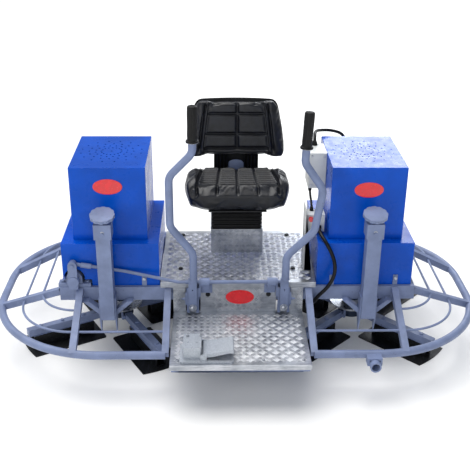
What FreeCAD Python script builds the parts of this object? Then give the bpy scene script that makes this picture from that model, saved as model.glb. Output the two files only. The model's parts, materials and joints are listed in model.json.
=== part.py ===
"""Twin-rotor ride-on power trowel, one STEP file per sub-part.

Millimetres, +Z up, +X along the machine's length, -Y towards the floor plate that the
rider faces.  Everything is laid out about the point on the ground midway between the
two rotor axes; save() then moves it so that the origin is at the centre of the
footprint.
"""
import FreeCAD, Part
import math
import os

V = FreeCAD.Vector

# ---- driving dimensions ------------------------------------------------------------
ROTOR_X = 540.0            # rotor axis from the machine's middle
SWEEP_R = 457.0            # blade tip circle, a 36 inch rotor
BLADE_W = 190.0
BLADE_T = 3.0
BLADE_INNER_R = 114.0
ARM_SIZE = 32.0            # square trowel arm
ARM_Z = 75.0               # arm axis above the ground
ARM_END_R = 446.0
ARM_COUNT = 4
LEFT_ARM_ANGLE = 29.0
RIGHT_ARM_ANGLE = 45.0
FINGER_REACH = 32.0        # pitch finger, sideways from the arm's axis

BEAM_END_X = 763.0
BEAM_STAND_OFF = 16.0      # the cross beams' outer faces are this far beyond the covers
BEAM_DEPTH = 80.0
BEAM_TOP = 329.0
BEAM_HEIGHT = 63.0
BEAM_WALL = 4.0
RAIL_W = 50.0

GUARD_X = 1050.0           # tube centre line at the machine's ends
GUARD_Y = 566.0            # tube centre line along the front and the back
GUARD_CORNER_R = 486.0
GUARD_INNER_X = 301.0
GUARD_Z = 184.0
GUARD_TUBE = 33.7
GUARD_ROD = 10.0
STRUT = 28.0
OUTER_ROD_X = 932.0
OUTER_ROD_Y = 460.0
OUTER_ROD_R = 245.0
OUTER_ROD_Z = 229.0
INNER_ROD_X = 848.0
INNER_ROD_Y = 352.0
INNER_ROD_R = 162.0
INNER_ROD_Z = 268.0
FRONT_STRUT_X = 675.0
SOCKET_BORE_R = 16.5       # tow socket under the right guard
SOCKET_WALL = 6.0
SOCKET_LENGTH = 48.0
SOCKET_STAND_OFF = 12.0

FLOOR_FRONT_Y = 685.0
FLOOR_HALF_W = 279.0
FLOOR_TOP = 212.0
FLOOR_T = 4.0
FLOOR_LIP = 24.0
RISER_STAND_OFF = 9.0      # front face of the riser beyond the beam
RISER_T = 3.0
DECK_TOP = 355.0
DECK_HALF_W = 332.0
DECK_BACK_Y = 246.0
DECK_T = 3.0

HOOD_W = 315.0
HOOD_FRONT_Y = 203.0
HOOD_BACK_Y = 202.0
HOOD_TOP = 850.0
COVER_TOP = 527.0
COVER_INNER_X = 336.0
COVER_OUTER_X = 747.0
COVER_MARGIN = 16.5        # room between the drive belt and the cover's front
COVER_BACK_Y = 222.0
SHEET = 2.5
VENT_RADII = (43.0, 68.0, 95.0, 130.0)
VENT_COUNT = 16
VENT_D = 8.0

POST_X = 556.0
POST_SIZE = 60.0
POST_WALL = 4.0
POST_BOTTOM = 207.0
POST_SPACER = 11.0         # packing between the post and the beam; the tie rod passes above
SLEEVE_WALL = 5.0
SLEEVE_LOW = 588.0
SLEEVE_TOP = 655.0
FOOT_R = 51.0
FOOT_T = 14.0
FOOT_Z = 690.0
FOOT_TILT = 14.0

PIVOT_STAND_OFF = 19.0     # levers' fore-and-aft axis beyond the riser
PIVOT_Z = 368.0
LEVER_X = 194.0
LEVER_HUB_Z = 257.0
LEVER_TUBE = 32.0
LEVER_WALL = 3.0
LEVER_BEND_R = 58.0
LEVER_PLATE_T = 10.0
LEVER_PLATE_W = 35.0
LEVER_STAND_OFF = 16.0     # back face of the lever's foot plate beyond that axis
GRIP_LENGTH = 142.0
GRIP_D = 42.0
BALL_R = 11.0
EYE_R = 16.0
EYE_T = 14.0
CROSS_ROD_D = 16.0
TIE_ROD_D = 14.0
TIE_ROD_STAND_OFF = 14.0   # the tie rod runs behind the post, this far beyond the cover
CRANK_X = 699.0
CRANK_SHAFT_D = 25.0
CRANK_SHAFT_RISE = 37.0
CRANK_RADIUS = 75.0
CRANK_PLATE_T = 12.0
BLOCK_SET_BACK = 24.0      # middle of the crank's bearing block behind the beam's face
BLOCK_DEPTH = 46.0

GEAR_MODULE = 3.0
GEAR_TEETH = 60
PINION_TEETH = 15
MOTOR_Y = 92.0
MOTOR_R = 90.0
MOTOR_PULLEY_R = 45.0
SHAFT_PULLEY_R = 112.0
BELT_W = 24.0
BELT_T = 5.0
PULLEY_Z = 400.0
ROTOR_SHAFT_D = 40.0
DRIVE_PLATE_T = 9.0
CASING_ROOM = 6.0          # between the gears' tips and the casing
CASING_WALL = 13.0

SEAT_W = 445.0
SEAT_FRONT_Y = -112.0
SEAT_BACK_Y = 218.0
SEAT_BOTTOM = 600.0
SEAT_TOP = 722.0           # top of the cushion's front half
SEAT_DROP = 24.0           # the cushion's rear edge is this much lower
HINGE_Y = 318.0            # backrest hinge, behind and below its pad
HINGE_Z = 640.0
BACK_W = 455.0
BACK_FRONT_Y = 236.0
BACK_LOW = 742.0
BACK_HIGH = 1004.0
BACK_THICK = 95.0
PEDESTAL_W = 234.0
PEDESTAL_FRONT_Y = 19.0
PEDESTAL_BACK_Y = 239.0
PEDESTAL_TOP = 470.0
SUSPENSION_TOP = 562.0
PAN_OVERHANG = 10.0        # the seat pan is this much wider than the pedestal, each side

RUNNING = 0.05             # radial clearance of a shaft in its bore
GAP = 0.4                  # gap between neighbours that move past each other
EYE_CLEARANCE = 1.6        # spherical clearance of a steering eye on its ball
SLEEVE_GAP = 1.0

# ---- worked-out places ---------------------------------------------------------------
BEAM_LOW = BEAM_TOP - BEAM_HEIGHT
HOOD_X = (COVER_INNER_X + COVER_OUTER_X) / 2.0
PINION_Y = -GEAR_MODULE * (GEAR_TEETH + PINION_TEETH) / 2.0
GEAR_TIP_R = GEAR_MODULE * (GEAR_TEETH + 2) / 2.0
PINION_TIP_R = GEAR_MODULE * (PINION_TEETH + 2) / 2.0
COVER_FRONT_Y = SHAFT_PULLEY_R + BELT_T + COVER_MARGIN - PINION_Y
BEAM_FRONT_Y = COVER_FRONT_Y + BEAM_STAND_OFF
RISER_Y = BEAM_FRONT_Y + RISER_STAND_OFF
PIVOT_Y = RISER_Y + PIVOT_STAND_OFF
LEVER_PLATE_Y = PIVOT_Y + LEVER_STAND_OFF
TIE_ROD_Y = COVER_FRONT_Y + TIE_ROD_STAND_OFF
BLOCK_Y = BEAM_FRONT_Y - BLOCK_SET_BACK
SLEEVE_SIZE = POST_SIZE + 2 * (SLEEVE_GAP + SLEEVE_WALL)
CRANK_Z = BEAM_TOP + CRANK_SHAFT_RISE
CRANK_EYE_Z = CRANK_Z + CRANK_RADIUS
DRIVE_TOP = BEAM_TOP + DRIVE_PLATE_T
POST_Y = -BEAM_FRONT_Y - POST_SPACER - POST_SIZE / 2.0
LEVER_AXIS_Y = -LEVER_PLATE_Y - LEVER_PLATE_T / 2.0
GUARD_REACH = GUARD_Y + GUARD_TUBE / 2.0
DATUM = V(0, (FLOOR_FRONT_Y - GUARD_REACH) / 2.0, 0)


# ---- making shapes -------------------------------------------------------------------
def box(x0, x1, y0, y1, z0, z1):
    """Block between two corners."""
    return Part.makeBox(x1 - x0, y1 - y0, z1 - z0, V(x0, y0, z0))


def rod(radius, start, end):
    """Round bar from one point to another."""
    run = end - start
    return Part.makeCylinder(radius, run.Length, start, run)


def ring(outer, inner, start, end):
    """Round tube from one point to another."""
    return rod(outer, start, end).cut(rod(inner, start, end))


def bar(size, start, end):
    """Square bar from one point to another, two of its sides upright."""
    run = end - start
    side = run.cross(V(0, 0, 1)).normalize() * (size / 2.0)
    up = side.cross(run).normalize() * (size / 2.0)
    corners = [start + side + up, start + side - up, start - side - up, start - side + up]
    return Part.Face(Part.makePolygon(corners + corners[:1])).extrude(run)


def plate(points, thickness):
    """Flat plate: an outline extruded along a vector."""
    return Part.Face(Part.makePolygon(points + points[:1])).extrude(thickness)


def fused(first, *others):
    """One solid from pieces that are welded or cast together."""
    return first.multiFuse(list(others)).removeSplitter()


def rounded(points, radius=None):
    """Wire of straight runs joined by tangent arcs.

    Without a radius each arc is as large as its two runs allow, and is printed.
    """
    edges = []
    radii = []
    start = points[0]
    for before, corner, after in zip(points, points[1:], points[2:]):
        arriving = (corner - before).normalize()
        leaving = (after - corner).normalize()
        half_turn = arriving.getAngle(leaving) / 2.0
        shorter = min((corner - before).Length, (after - corner).Length)
        bend = radius or 0.45 * shorter / math.tan(half_turn)
        setback = bend * math.tan(half_turn)
        first = corner - arriving * setback
        last = corner + leaving * setback
        inward = (leaving - arriving).normalize()
        middle = corner + inward * (bend / math.cos(half_turn) - bend)
        edges.append(Part.LineSegment(start, first).toShape())
        edges.append(Part.Arc(first, middle, last).toShape())
        radii.append(round(bend, 1))
        start = last
    edges.append(Part.LineSegment(start, points[-1]).toShape())
    if radius is None:
        print("arc radii", radii)
    return Part.Wire(edges)


def swept(path, radius):
    """Round bar that follows a wire."""
    start = path.Edges[0].valueAt(path.Edges[0].FirstParameter)
    heading = path.Edges[0].tangentAt(path.Edges[0].FirstParameter)
    circle = Part.Wire(Part.Circle(start, heading, radius).toShape())
    return path.makePipeShell([circle], True, False)


def bent_tube(points, outer, wall, bend):
    """Bent round tube; the bore runs its whole length."""
    path = rounded(points, bend)
    return swept(path, outer / 2.0).cut(swept(path, outer / 2.0 - wall))


def hex_bolt(at, direction, size):
    """Hexagon head with its washer, standing on a face."""
    axis = V(direction).normalize()
    washer = rod(size * 1.05, at, at + axis * (size * 0.18))
    base = at + axis * (size * 0.18)
    side = axis.cross(V(0.31, 0.52, 0.79)).normalize() * (size * 0.92)
    turn = FreeCAD.Rotation(axis, 60)
    corners = []
    for _ in range(6):
        corners.append(base + side)
        side = turn.multVec(side)
    return washer.fuse(plate(corners, axis * (size * 0.62)))


def mirrored(shape):
    """The same piece on the machine's other side."""
    return shape.mirror(V(0, 0, 0), V(1, 0, 0))


def front_and_back(shape):
    """A piece and its twin at the other beam."""
    return [shape, shape.mirror(V(0, 0, 0), V(0, 1, 0))]


def save(name, shape):
    """Write one node about the machine's origin."""
    solids = shape if isinstance(shape, list) else [shape]
    placed = []
    for piece in solids:
        for solid in piece.Solids:
            moved = solid.copy()
            moved.translate(DATUM)
            placed.append(moved)
    for solid in placed:
        if not solid.isValid():
            raise ValueError(name + " has a solid that isn't valid")
    whole = placed[0] if len(placed) == 1 else Part.makeCompound(placed)
    whole.exportStep("parts/" + name + ".step")


def save_pair(name, right_shape):
    """Write the right piece and its mirror image on the left."""
    shapes = right_shape if isinstance(right_shape, list) else [right_shape]
    save("right_" + name, shapes)
    save("left_" + name, [mirrored(one) for one in shapes])


# ---- frame ---------------------------------------------------------------------------
def box_tube(x0, x1, y0, y1, z0, z1, along, wall):
    """Rectangular hollow section, open along one axis."""
    inset = {"x": (0, wall, wall), "y": (wall, 0, wall), "z": (wall, wall, 0)}[along]
    hollow = box(x0 + inset[0], x1 - inset[0], y0 + inset[1], y1 - inset[1],
                 z0 + inset[2], z1 - inset[2])
    return box(x0, x1, y0, y1, z0, z1).cut(hollow)


def drive_plate():
    """Plate across both beams that a gearbox hangs from."""
    half = (COVER_OUTER_X - COVER_INNER_X) / 2.0 - 2 * SHEET
    whole = box(ROTOR_X - half, ROTOR_X + half, -COVER_FRONT_Y + 2 * SHEET + 40,
                COVER_BACK_Y - 2 * SHEET, BEAM_TOP, DRIVE_TOP)
    seat = rod(48, V(ROTOR_X, PINION_Y, BEAM_TOP - 1), V(ROTOR_X, PINION_Y, DRIVE_TOP + 1))
    return whole.cut(seat)


def main_frame():
    """Cross beams, the rails between them, drive plates and the floor's rails."""
    inner_y = BEAM_FRONT_Y - BEAM_DEPTH
    beam = box_tube(-BEAM_END_X, BEAM_END_X, -BEAM_FRONT_Y, -inner_y, BEAM_LOW, BEAM_TOP,
                    "x", BEAM_WALL)
    solids = front_and_back(beam)
    for middle in (BEAM_END_X - RAIL_W / 2.0, COVER_INNER_X - RAIL_W / 2.0 - 4):
        rail = box_tube(middle - RAIL_W / 2.0, middle + RAIL_W / 2.0, -inner_y, inner_y,
                        BEAM_LOW, BEAM_TOP, "y", BEAM_WALL)
        solids += [rail, mirrored(rail)]
    solids += [drive_plate(), mirrored(drive_plate())]
    low = FLOOR_TOP - FLOOR_T
    rail_x = FLOOR_HALF_W - FLOOR_T - 16
    rail = box(rail_x - 15, rail_x + 15, -FLOOR_FRONT_Y + 6, -BEAM_FRONT_Y + 40, low - 30, low)
    upright = box(rail_x - 15, rail_x + 15, -BEAM_FRONT_Y, -BEAM_FRONT_Y + 40, low, BEAM_LOW)
    solids += [rail, upright, mirrored(rail), mirrored(upright)]
    for y in (-FLOOR_FRONT_Y + 21, -(FLOOR_FRONT_Y + BEAM_FRONT_Y) / 2.0, -BEAM_FRONT_Y - 20):
        solids.append(box(-rail_x + 15, rail_x - 15, y - 15, y + 15, low - 30, low))
    return solids


def floor_plate():
    """Foot plate with its front edge folded down."""
    low = FLOOR_TOP - FLOOR_T
    flat = box(-FLOOR_HALF_W, FLOOR_HALF_W, -FLOOR_FRONT_Y, -RISER_Y, low, FLOOR_TOP)
    lip = box(-FLOOR_HALF_W, FLOOR_HALF_W, -FLOOR_FRONT_Y, -FLOOR_FRONT_Y + FLOOR_T,
              FLOOR_TOP - FLOOR_LIP, low)
    return fused(flat, lip)


def lever_slots(y0, y1):
    """Openings in the riser that the cradles swing into."""
    slot = box(LEVER_X - 31, LEVER_X + 31, y0, y1, FLOOR_TOP + 4, FLOOR_TOP + 126)
    return [slot, mirrored(slot)]


def riser_plate():
    """Upright plate between the floor and the seat deck, with a slot for each lever."""
    whole = box(-FLOOR_HALF_W, FLOOR_HALF_W, -RISER_Y, -RISER_Y + RISER_T, FLOOR_TOP - FLOOR_T,
                BEAM_TOP)
    stand_off = box(-FLOOR_HALF_W, -FLOOR_HALF_W + 40, -RISER_Y + RISER_T, -BEAM_FRONT_Y,
                    BEAM_LOW, BEAM_TOP)
    riser = fused(whole, stand_off, mirrored(stand_off))
    for slot in lever_slots(-RISER_Y - 1, -RISER_Y + RISER_T + 1):
        riser = riser.cut(slot)
    return riser


def seat_deck():
    """Deck under the seat, its front and sides folded down onto the beams."""
    whole = box(-DECK_HALF_W, DECK_HALF_W, -RISER_Y, DECK_BACK_Y, BEAM_TOP, DECK_TOP)
    under = box(-DECK_HALF_W + DECK_T, DECK_HALF_W - DECK_T, -RISER_Y + DECK_T,
                DECK_BACK_Y + 1, BEAM_TOP - 1, DECK_TOP - DECK_T)
    return whole.cut(under)


# ---- guards --------------------------------------------------------------------------
def guard_ring():
    """Bent tube round one rotor: front, outer end and back in one piece."""
    corner_x = GUARD_X - GUARD_CORNER_R
    corner_y = GUARD_Y - GUARD_CORNER_R
    arc = GUARD_CORNER_R * math.sqrt(0.5)
    z = GUARD_Z
    front = Part.LineSegment(V(GUARD_INNER_X, -GUARD_Y, z), V(corner_x, -GUARD_Y, z))
    bend = Part.Arc(V(corner_x, -GUARD_Y, z), V(corner_x + arc, -corner_y - arc, z),
                    V(GUARD_X, -corner_y, z))
    end = Part.LineSegment(V(GUARD_X, -corner_y, z), V(GUARD_X, corner_y, z))
    back_bend = Part.Arc(V(GUARD_X, corner_y, z), V(corner_x + arc, corner_y + arc, z),
                         V(corner_x, GUARD_Y, z))
    back = Part.LineSegment(V(corner_x, GUARD_Y, z), V(GUARD_INNER_X, GUARD_Y, z))
    path = Part.Wire([one.toShape() for one in (front, bend, end, back_bend, back)])
    return swept(path, GUARD_TUBE / 2.0)


def bent_rod(x, y, bend, z):
    """Thin guard rod: along the front, round the corner, along the end and back again."""
    start_x = GUARD_INNER_X if y == OUTER_ROD_Y else FRONT_STRUT_X
    points = [V(start_x, -y, z), V(x, -y, z), V(x, y, z), V(start_x, y, z)]
    return swept(rounded(points, bend), GUARD_ROD / 2.0)


def guard_struts():
    """Square struts that carry the ring."""
    solids = []
    top = BEAM_TOP - STRUT / 2.0
    inner_low = V(GUARD_INNER_X, -GUARD_Y, GUARD_Z)
    inner = bar(STRUT, V(GUARD_INNER_X, -BEAM_FRONT_Y, top), inner_low)
    front = bar(STRUT, V(FRONT_STRUT_X, -BEAM_FRONT_Y, top),
                V(FRONT_STRUT_X, -GUARD_Y + 4, GUARD_Z))
    outer = bar(STRUT, V(BEAM_END_X, -BEAM_FRONT_Y + 30, BEAM_TOP - 32),
                V(GUARD_X - 12, -170, GUARD_Z))
    for strut in (inner, front, outer):
        beams = box(0, BEAM_END_X, -BEAM_FRONT_Y, BEAM_FRONT_Y, 0, BEAM_TOP)
        solids += front_and_back(strut.cut(beams))
    return solids


def guard():
    """One guard: ring, struts and thin rods, welded together."""
    tube = guard_ring()
    struts = [strut.cut(tube) for strut in guard_struts()]
    rods = [bent_rod(OUTER_ROD_X, OUTER_ROD_Y, OUTER_ROD_R, OUTER_ROD_Z),
            bent_rod(INNER_ROD_X, INNER_ROD_Y, INNER_ROD_R, INNER_ROD_Z)]
    for strut in struts:
        rods = [one.cut(strut) for one in rods]
    return [tube] + struts + rods


def tow_socket():
    """Short open tube on a bracket under the right guard's front."""
    x = ROTOR_X
    y = -GUARD_Y - GUARD_TUBE / 2.0
    z = GUARD_Z - 16
    back = y - SOCKET_STAND_OFF
    outer = SOCKET_BORE_R + SOCKET_WALL
    tube = ring(outer, SOCKET_BORE_R, V(x, back - SOCKET_LENGTH, z), V(x, back, z))
    pieces = [box(x - 30, x + 30, back - 24, y + 8, z + 18, z + 26)]
    for side in (-1, 1):
        cheek_x = x + side * (outer + 3)
        pieces.append(box(cheek_x - 4, cheek_x + 4, back - 24, y + 4, z - 8, z + 20))
    return fused(tube, *pieces).cut(guard_ring())


# ---- hoods and covers ----------------------------------------------------------------
def hood():
    """Sheet box over a motor, open below, with rings of vent holes in its top."""
    x0 = HOOD_X - HOOD_W / 2.0
    x1 = HOOD_X + HOOD_W / 2.0
    outside = box(x0, x1, -HOOD_FRONT_Y, HOOD_BACK_Y, COVER_TOP, HOOD_TOP)
    inside = box(x0 + SHEET, x1 - SHEET, -HOOD_FRONT_Y + SHEET, HOOD_BACK_Y - SHEET,
                 COVER_TOP - 1, HOOD_TOP - SHEET)
    holes = [rod(VENT_D / 2.0, V(HOOD_X, 0, HOOD_TOP - 9), V(HOOD_X, 0, HOOD_TOP + 1))]
    for index, radius in enumerate(VENT_RADII):
        for step in range(VENT_COUNT):
            angle = 2 * math.pi * (step + 0.5 * (index % 2)) / VENT_COUNT
            at = V(HOOD_X + radius * math.cos(angle), radius * math.sin(angle), HOOD_TOP - 9)
            holes.append(rod(VENT_D / 2.0, at, at + V(0, 0, 10)))
    return outside.cut(inside).cut(Part.makeCompound(holes))


def lower_cover():
    """Wider sheet cover round the belt drive, open below and under the hood."""
    outside = box(COVER_INNER_X, COVER_OUTER_X, -COVER_FRONT_Y, COVER_BACK_Y, BEAM_TOP,
                  COVER_TOP)
    inside = box(COVER_INNER_X + SHEET, COVER_OUTER_X - SHEET, -COVER_FRONT_Y + SHEET,
                 COVER_BACK_Y - SHEET, BEAM_TOP - 1, COVER_TOP - SHEET)
    opening = box(HOOD_X - HOOD_W / 2.0 + 20, HOOD_X + HOOD_W / 2.0 - 20,
                  -HOOD_FRONT_Y + 20, HOOD_BACK_Y - 12, COVER_TOP - 9, COVER_TOP + 1)
    return outside.cut(inside).cut(opening)


def crank_opening():
    """Arch and foot notch in the left lower cover round the crank's bearing block."""
    y0 = -COVER_FRONT_Y - 8
    y1 = -BLOCK_Y + BLOCK_DEPTH / 2.0 + 8
    arch = rod(44, V(-CRANK_X, y0, CRANK_Z), V(-CRANK_X, y1, CRANK_Z))
    leg = box(-CRANK_X - 44, -CRANK_X + 44, y0, y1, BEAM_TOP - 1, CRANK_Z)
    foot = box(-COVER_OUTER_X - 8, -CRANK_X + 74, y0, y1, BEAM_TOP - 1, BEAM_TOP + 30)
    return arch.fuse([leg, foot])


def cover_lugs():
    """Upright tabs on the beams, each bolted to a lower cover."""
    solids = []
    places = [(COVER_INNER_X + 66, -1), (COVER_OUTER_X - 70, -1),
              (COVER_INNER_X + 66, 1), (COVER_OUTER_X - 70, 1),
              (-COVER_INNER_X - 66, -1), (-COVER_INNER_X - 66, 1), (-COVER_OUTER_X + 70, 1)]
    for x, end in places:
        face = COVER_BACK_Y if end > 0 else -COVER_FRONT_Y
        out = face + end * 4
        low, high = min(face, out), max(face, out)
        tab = box(x - 10, x + 10, low, high, BEAM_TOP, BEAM_TOP + 48)
        solids.append(tab.fuse(hex_bolt(V(x, out, BEAM_TOP + 36), V(0, end, 0), 7)))
    return solids


# ---- parking legs --------------------------------------------------------------------
def leg_post():
    """Square post on the front beam with its packing, side plates and braces."""
    x = POST_X
    top = SLEEVE_TOP - 8
    half = POST_SIZE / 2.0
    beam = -BEAM_FRONT_Y
    plate_top = BEAM_TOP - 22
    post = box_tube(x - half, x + half, POST_Y - half, POST_Y + half, POST_BOTTOM, top, "z",
                    POST_WALL)
    bottom = box(x - half, x + half, POST_Y - half, POST_Y + half, POST_BOTTOM,
                 POST_BOTTOM + 6)
    packing = box(x - half, x + half, POST_Y + half, beam, BEAM_LOW, BEAM_TOP)
    pieces = [bottom, packing, hex_bolt(V(x, POST_Y - 4, POST_BOTTOM), V(0, 0, -1), 10)]
    for side in (-1, 1):
        face = x + side * half
        outline = [V(face, beam - 61, plate_top), V(face, beam - 61, POST_BOTTOM - 4),
                   V(face, beam - 38, POST_BOTTOM - 70), V(face, beam, POST_BOTTOM - 10),
                   V(face, beam, plate_top)]
        pieces.append(plate(outline, V(side * 6, 0, 0)))
        near = face + side * 5
        far = x + side * 108
        brace = [V(near, beam, POST_BOTTOM + 6), V(near, beam, POST_BOTTOM + 34),
                 V(far - side * 26, beam, BEAM_LOW + 14), V(far, beam, BEAM_LOW + 14)]
        pieces.append(plate(brace, V(0, -38, 0)))
    return fused(post, *pieces)


def foot_disc(x):
    """Round scalloped foot pad on a neck, tipped towards the front."""
    disc = rod(FOOT_R, V(0, 0, -FOOT_T), V(0, 0, 0))
    for step in range(12):
        angle = math.radians(step * 30 + 15)
        reach = FOOT_R + 14
        at = V(reach * math.cos(angle), reach * math.sin(angle), -FOOT_T - 1)
        disc = disc.cut(rod(16.5, at, at + V(0, 0, FOOT_T + 2)))
    hub = rod(17, V(0, 0, -FOOT_T - 8), V(0, 0, -FOOT_T))
    whole = disc.fuse(hub)
    whole.rotate(V(0, 0, 0), V(1, 0, 0), FOOT_TILT)
    whole.translate(V(x, POST_Y - 4, FOOT_Z))
    neck = rod(13, V(x, POST_Y, SLEEVE_TOP), V(x, POST_Y, FOOT_Z - FOOT_T - 2))
    return whole.fuse(neck)


def leg_foot():
    """Sleeve that slides on the post, its set bolt and its foot pad."""
    x = POST_X
    half = SLEEVE_SIZE / 2.0
    bore = POST_SIZE / 2.0 + SLEEVE_GAP
    body = box(x - half, x + half, POST_Y - half, POST_Y + half, SLEEVE_LOW, SLEEVE_TOP)
    hollow = box(x - bore, x + bore, POST_Y - bore, POST_Y + bore, SLEEVE_LOW - 1,
                 SLEEVE_TOP - 6)
    bolt = hex_bolt(V(x, POST_Y - half, SLEEVE_LOW + 26), V(0, -1, 0), 8)
    return fused(body.cut(hollow), bolt, foot_disc(x))


# ---- trowel rotors -------------------------------------------------------------------
def spur_gear(teeth, height, centre, phase):
    """Straight-toothed gear; phase turns its first tooth away from +X."""
    pitch_r = GEAR_MODULE * teeth / 2.0
    root = pitch_r - 1.25 * GEAR_MODULE
    tip = pitch_r + 0.85 * GEAR_MODULE
    step = 2 * math.pi / teeth
    corners = []
    for index in range(teeth):
        middle = phase + index * step
        for offset, radius in ((-0.29, root), (-0.11, tip), (0.11, tip), (0.29, root)):
            angle = middle + offset * step
            corners.append(centre + V(radius * math.cos(angle), radius * math.sin(angle), 0))
    return plate(corners, V(0, 0, height))


def rotor_shaft(angle):
    """Output shaft with its gear and the four-armed spider."""
    x = ROTOR_X
    low = ARM_Z - 22
    shaft = rod(ROTOR_SHAFT_D / 2.0, V(x, 0, low), V(x, 0, BEAM_TOP - 24))
    gear = spur_gear(GEAR_TEETH, 28, V(x, 0, BEAM_TOP - 66), 0)
    hub = rod(58, V(x, 0, low), V(x, 0, ARM_Z + 22))
    spider = hub
    for index in range(ARM_COUNT):
        heading = math.radians(angle + index * 360.0 / ARM_COUNT)
        along = V(math.cos(heading), math.sin(heading), 0)
        boss = rod(21, V(x, 0, ARM_Z) + along * 40, V(x, 0, ARM_Z) + along * 80)
        spider = spider.fuse(boss)
    for index in range(ARM_COUNT):
        heading = math.radians(angle + index * 360.0 / ARM_COUNT)
        along = V(math.cos(heading), math.sin(heading), 0)
        bore = rod(14 + RUNNING, V(x, 0, ARM_Z) + along * 34, V(x, 0, ARM_Z) + along * 90)
        spider = spider.cut(bore)
    return fused(shaft, gear, spider)


def thrust_collar():
    """Pressure plate that slides on the shaft and presses the arms' fingers."""
    x = ROTOR_X
    low = ARM_Z + 33
    flange = rod(100, V(x, 0, low), V(x, 0, low + 8))
    hub = rod(34, V(x, 0, low), V(x, 0, low + 22))
    bore = rod(ROTOR_SHAFT_D / 2.0 + RUNNING, V(x, 0, low - 1), V(x, 0, low + 40))
    return fused(flange, hub).cut(bore)


def trowel_arm(heading_deg, hand):
    """Arm with its pitch finger, and the blade on its bracket, laid along +X then turned."""
    half = ARM_SIZE / 2.0
    journal = rod(14, V(36, 0, ARM_Z), V(86, 0, ARM_Z))
    square = box(84, ARM_END_R, -half, half, ARM_Z - half, ARM_Z + half)
    top = ARM_Z + 33 - GAP
    reach = -hand * FINGER_REACH
    finger = box(85, 97, min(0, reach), max(0, reach), ARM_Z - 6, ARM_Z + 10)
    tip = box(85, 97, reach - 2.5, reach + 2.5, ARM_Z - 6, top)
    arm = fused(journal, square, finger, tip)
    heads = []
    bracket_low = BLADE_T
    spacing = (SWEEP_R - BLADE_INNER_R) / 3.4
    middle = (SWEEP_R + BLADE_INNER_R) / 2.0
    for index in (-1, 0, 1):
        at = V(middle + index * spacing, 0, ARM_Z + half)
        heads.append(hex_bolt(at, V(0, 0, 1), 9))
    arm = fused(arm, *heads)
    bracket = box(middle - spacing - 40, middle + spacing + 40, -22, 22, bracket_low,
                  ARM_Z - half)
    channel = box(middle - spacing - 41, middle + spacing + 41, -18, 18, bracket_low + 5,
                  ARM_Z - half - 5)
    blade = box(BLADE_INNER_R, SWEEP_R, -BLADE_W / 2.0, BLADE_W / 2.0, 0, BLADE_T)
    edges = [edge for edge in blade.Edges if abs(edge.Length - BLADE_T) < 0.01]
    blade = blade.makeFillet(12, edges)
    tip_circle = rod(SWEEP_R, V(0, 0, -1), V(0, 0, BLADE_T + 1))
    blade = fused(blade.common(tip_circle), bracket.cut(channel))
    solids = []
    for solid in (arm, blade):
        solid.rotate(V(0, 0, 0), V(0, 0, 1), heading_deg)
        solid.translate(V(hand * -ROTOR_X, 0, 0))
        solids.append(solid)
    return solids


# ---- drive ---------------------------------------------------------------------------
def gearbox_casing():
    """Casing hung under the beams, tapered down round the output shaft."""
    x = ROTOR_X
    low = BEAM_TOP - 74
    high = BEAM_TOP
    room_r = GEAR_TIP_R + CASING_ROOM
    pocket_r = PINION_TIP_R + CASING_ROOM + 2.5
    bowl = rod(room_r + CASING_WALL, V(x, 0, low), V(x, 0, high))
    outer = pocket_r + CASING_WALL - 3
    pocket = rod(outer, V(x, PINION_Y, low), V(x, PINION_Y, high))
    bridge = box(x - outer, x + outer, PINION_Y, 0, low, high)
    cone = Part.makeCone(48, room_r + 1, low - 152, V(x, 0, 152))
    nose = rod(48, V(x, 0, 136), V(x, 0, 152))
    flange = rod(room_r + CASING_WALL + 12, V(x, 0, high - 12), V(x, 0, high))
    shell = fused(bowl, pocket, bridge, cone, nose, flange)
    room = fused(rod(room_r, V(x, 0, low + 6), V(x, 0, high - 8)),
                 rod(pocket_r, V(x, PINION_Y, low + 6), V(x, PINION_Y, high - 8)))
    shaft_bore = rod(ROTOR_SHAFT_D / 2.0 + RUNNING, V(x, 0, 100), V(x, 0, high - 4))
    input_bore = rod(13 + RUNNING, V(x, PINION_Y, low + 1), V(x, PINION_Y, high + 1))
    beams = fused(box(0, BEAM_END_X, -BEAM_FRONT_Y, -BEAM_FRONT_Y + BEAM_DEPTH + 0.5, BEAM_LOW,
                      BEAM_TOP),
                  box(0, BEAM_END_X, BEAM_FRONT_Y - BEAM_DEPTH - 0.5, BEAM_FRONT_Y, BEAM_LOW,
                      BEAM_TOP))
    return shell.cut(room).cut(shaft_bore).cut(input_bore).cut(beams)


def gear_shaft():
    """Input shaft: pinion in the casing, large pulley above it."""
    x = ROTOR_X
    shaft = rod(13, V(x, PINION_Y, BEAM_TOP - 72), V(x, PINION_Y, PULLEY_Z + BELT_W + 14))
    mesh_phase = math.pi / 2.0 + math.pi / PINION_TEETH
    pinion = spur_gear(PINION_TEETH, 32, V(x, PINION_Y, BEAM_TOP - 68), mesh_phase)
    return fused(shaft, pinion, pulley(V(x, PINION_Y, PULLEY_Z), SHAFT_PULLEY_R))


def pulley(at, radius):
    """Flat-belt pulley with a flange at each side."""
    up = V(0, 0, 1)
    drum = rod(radius, at - up * 4, at + up * (BELT_W + 4))
    low = rod(radius + BELT_T + 2, at - up * 4, at - up * 1)
    high = rod(radius + BELT_T + 2, at + up * (BELT_W + 1), at + up * (BELT_W + 4))
    return drum.fuse([low, high])


def motor_pulley():
    """Motor shaft end with its small pulley."""
    x = ROTOR_X
    shaft = rod(14, V(x, MOTOR_Y, PULLEY_Z - 6), V(x, MOTOR_Y, 512))
    return fused(shaft, pulley(V(x, MOTOR_Y, PULLEY_Z), MOTOR_PULLEY_R))


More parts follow.
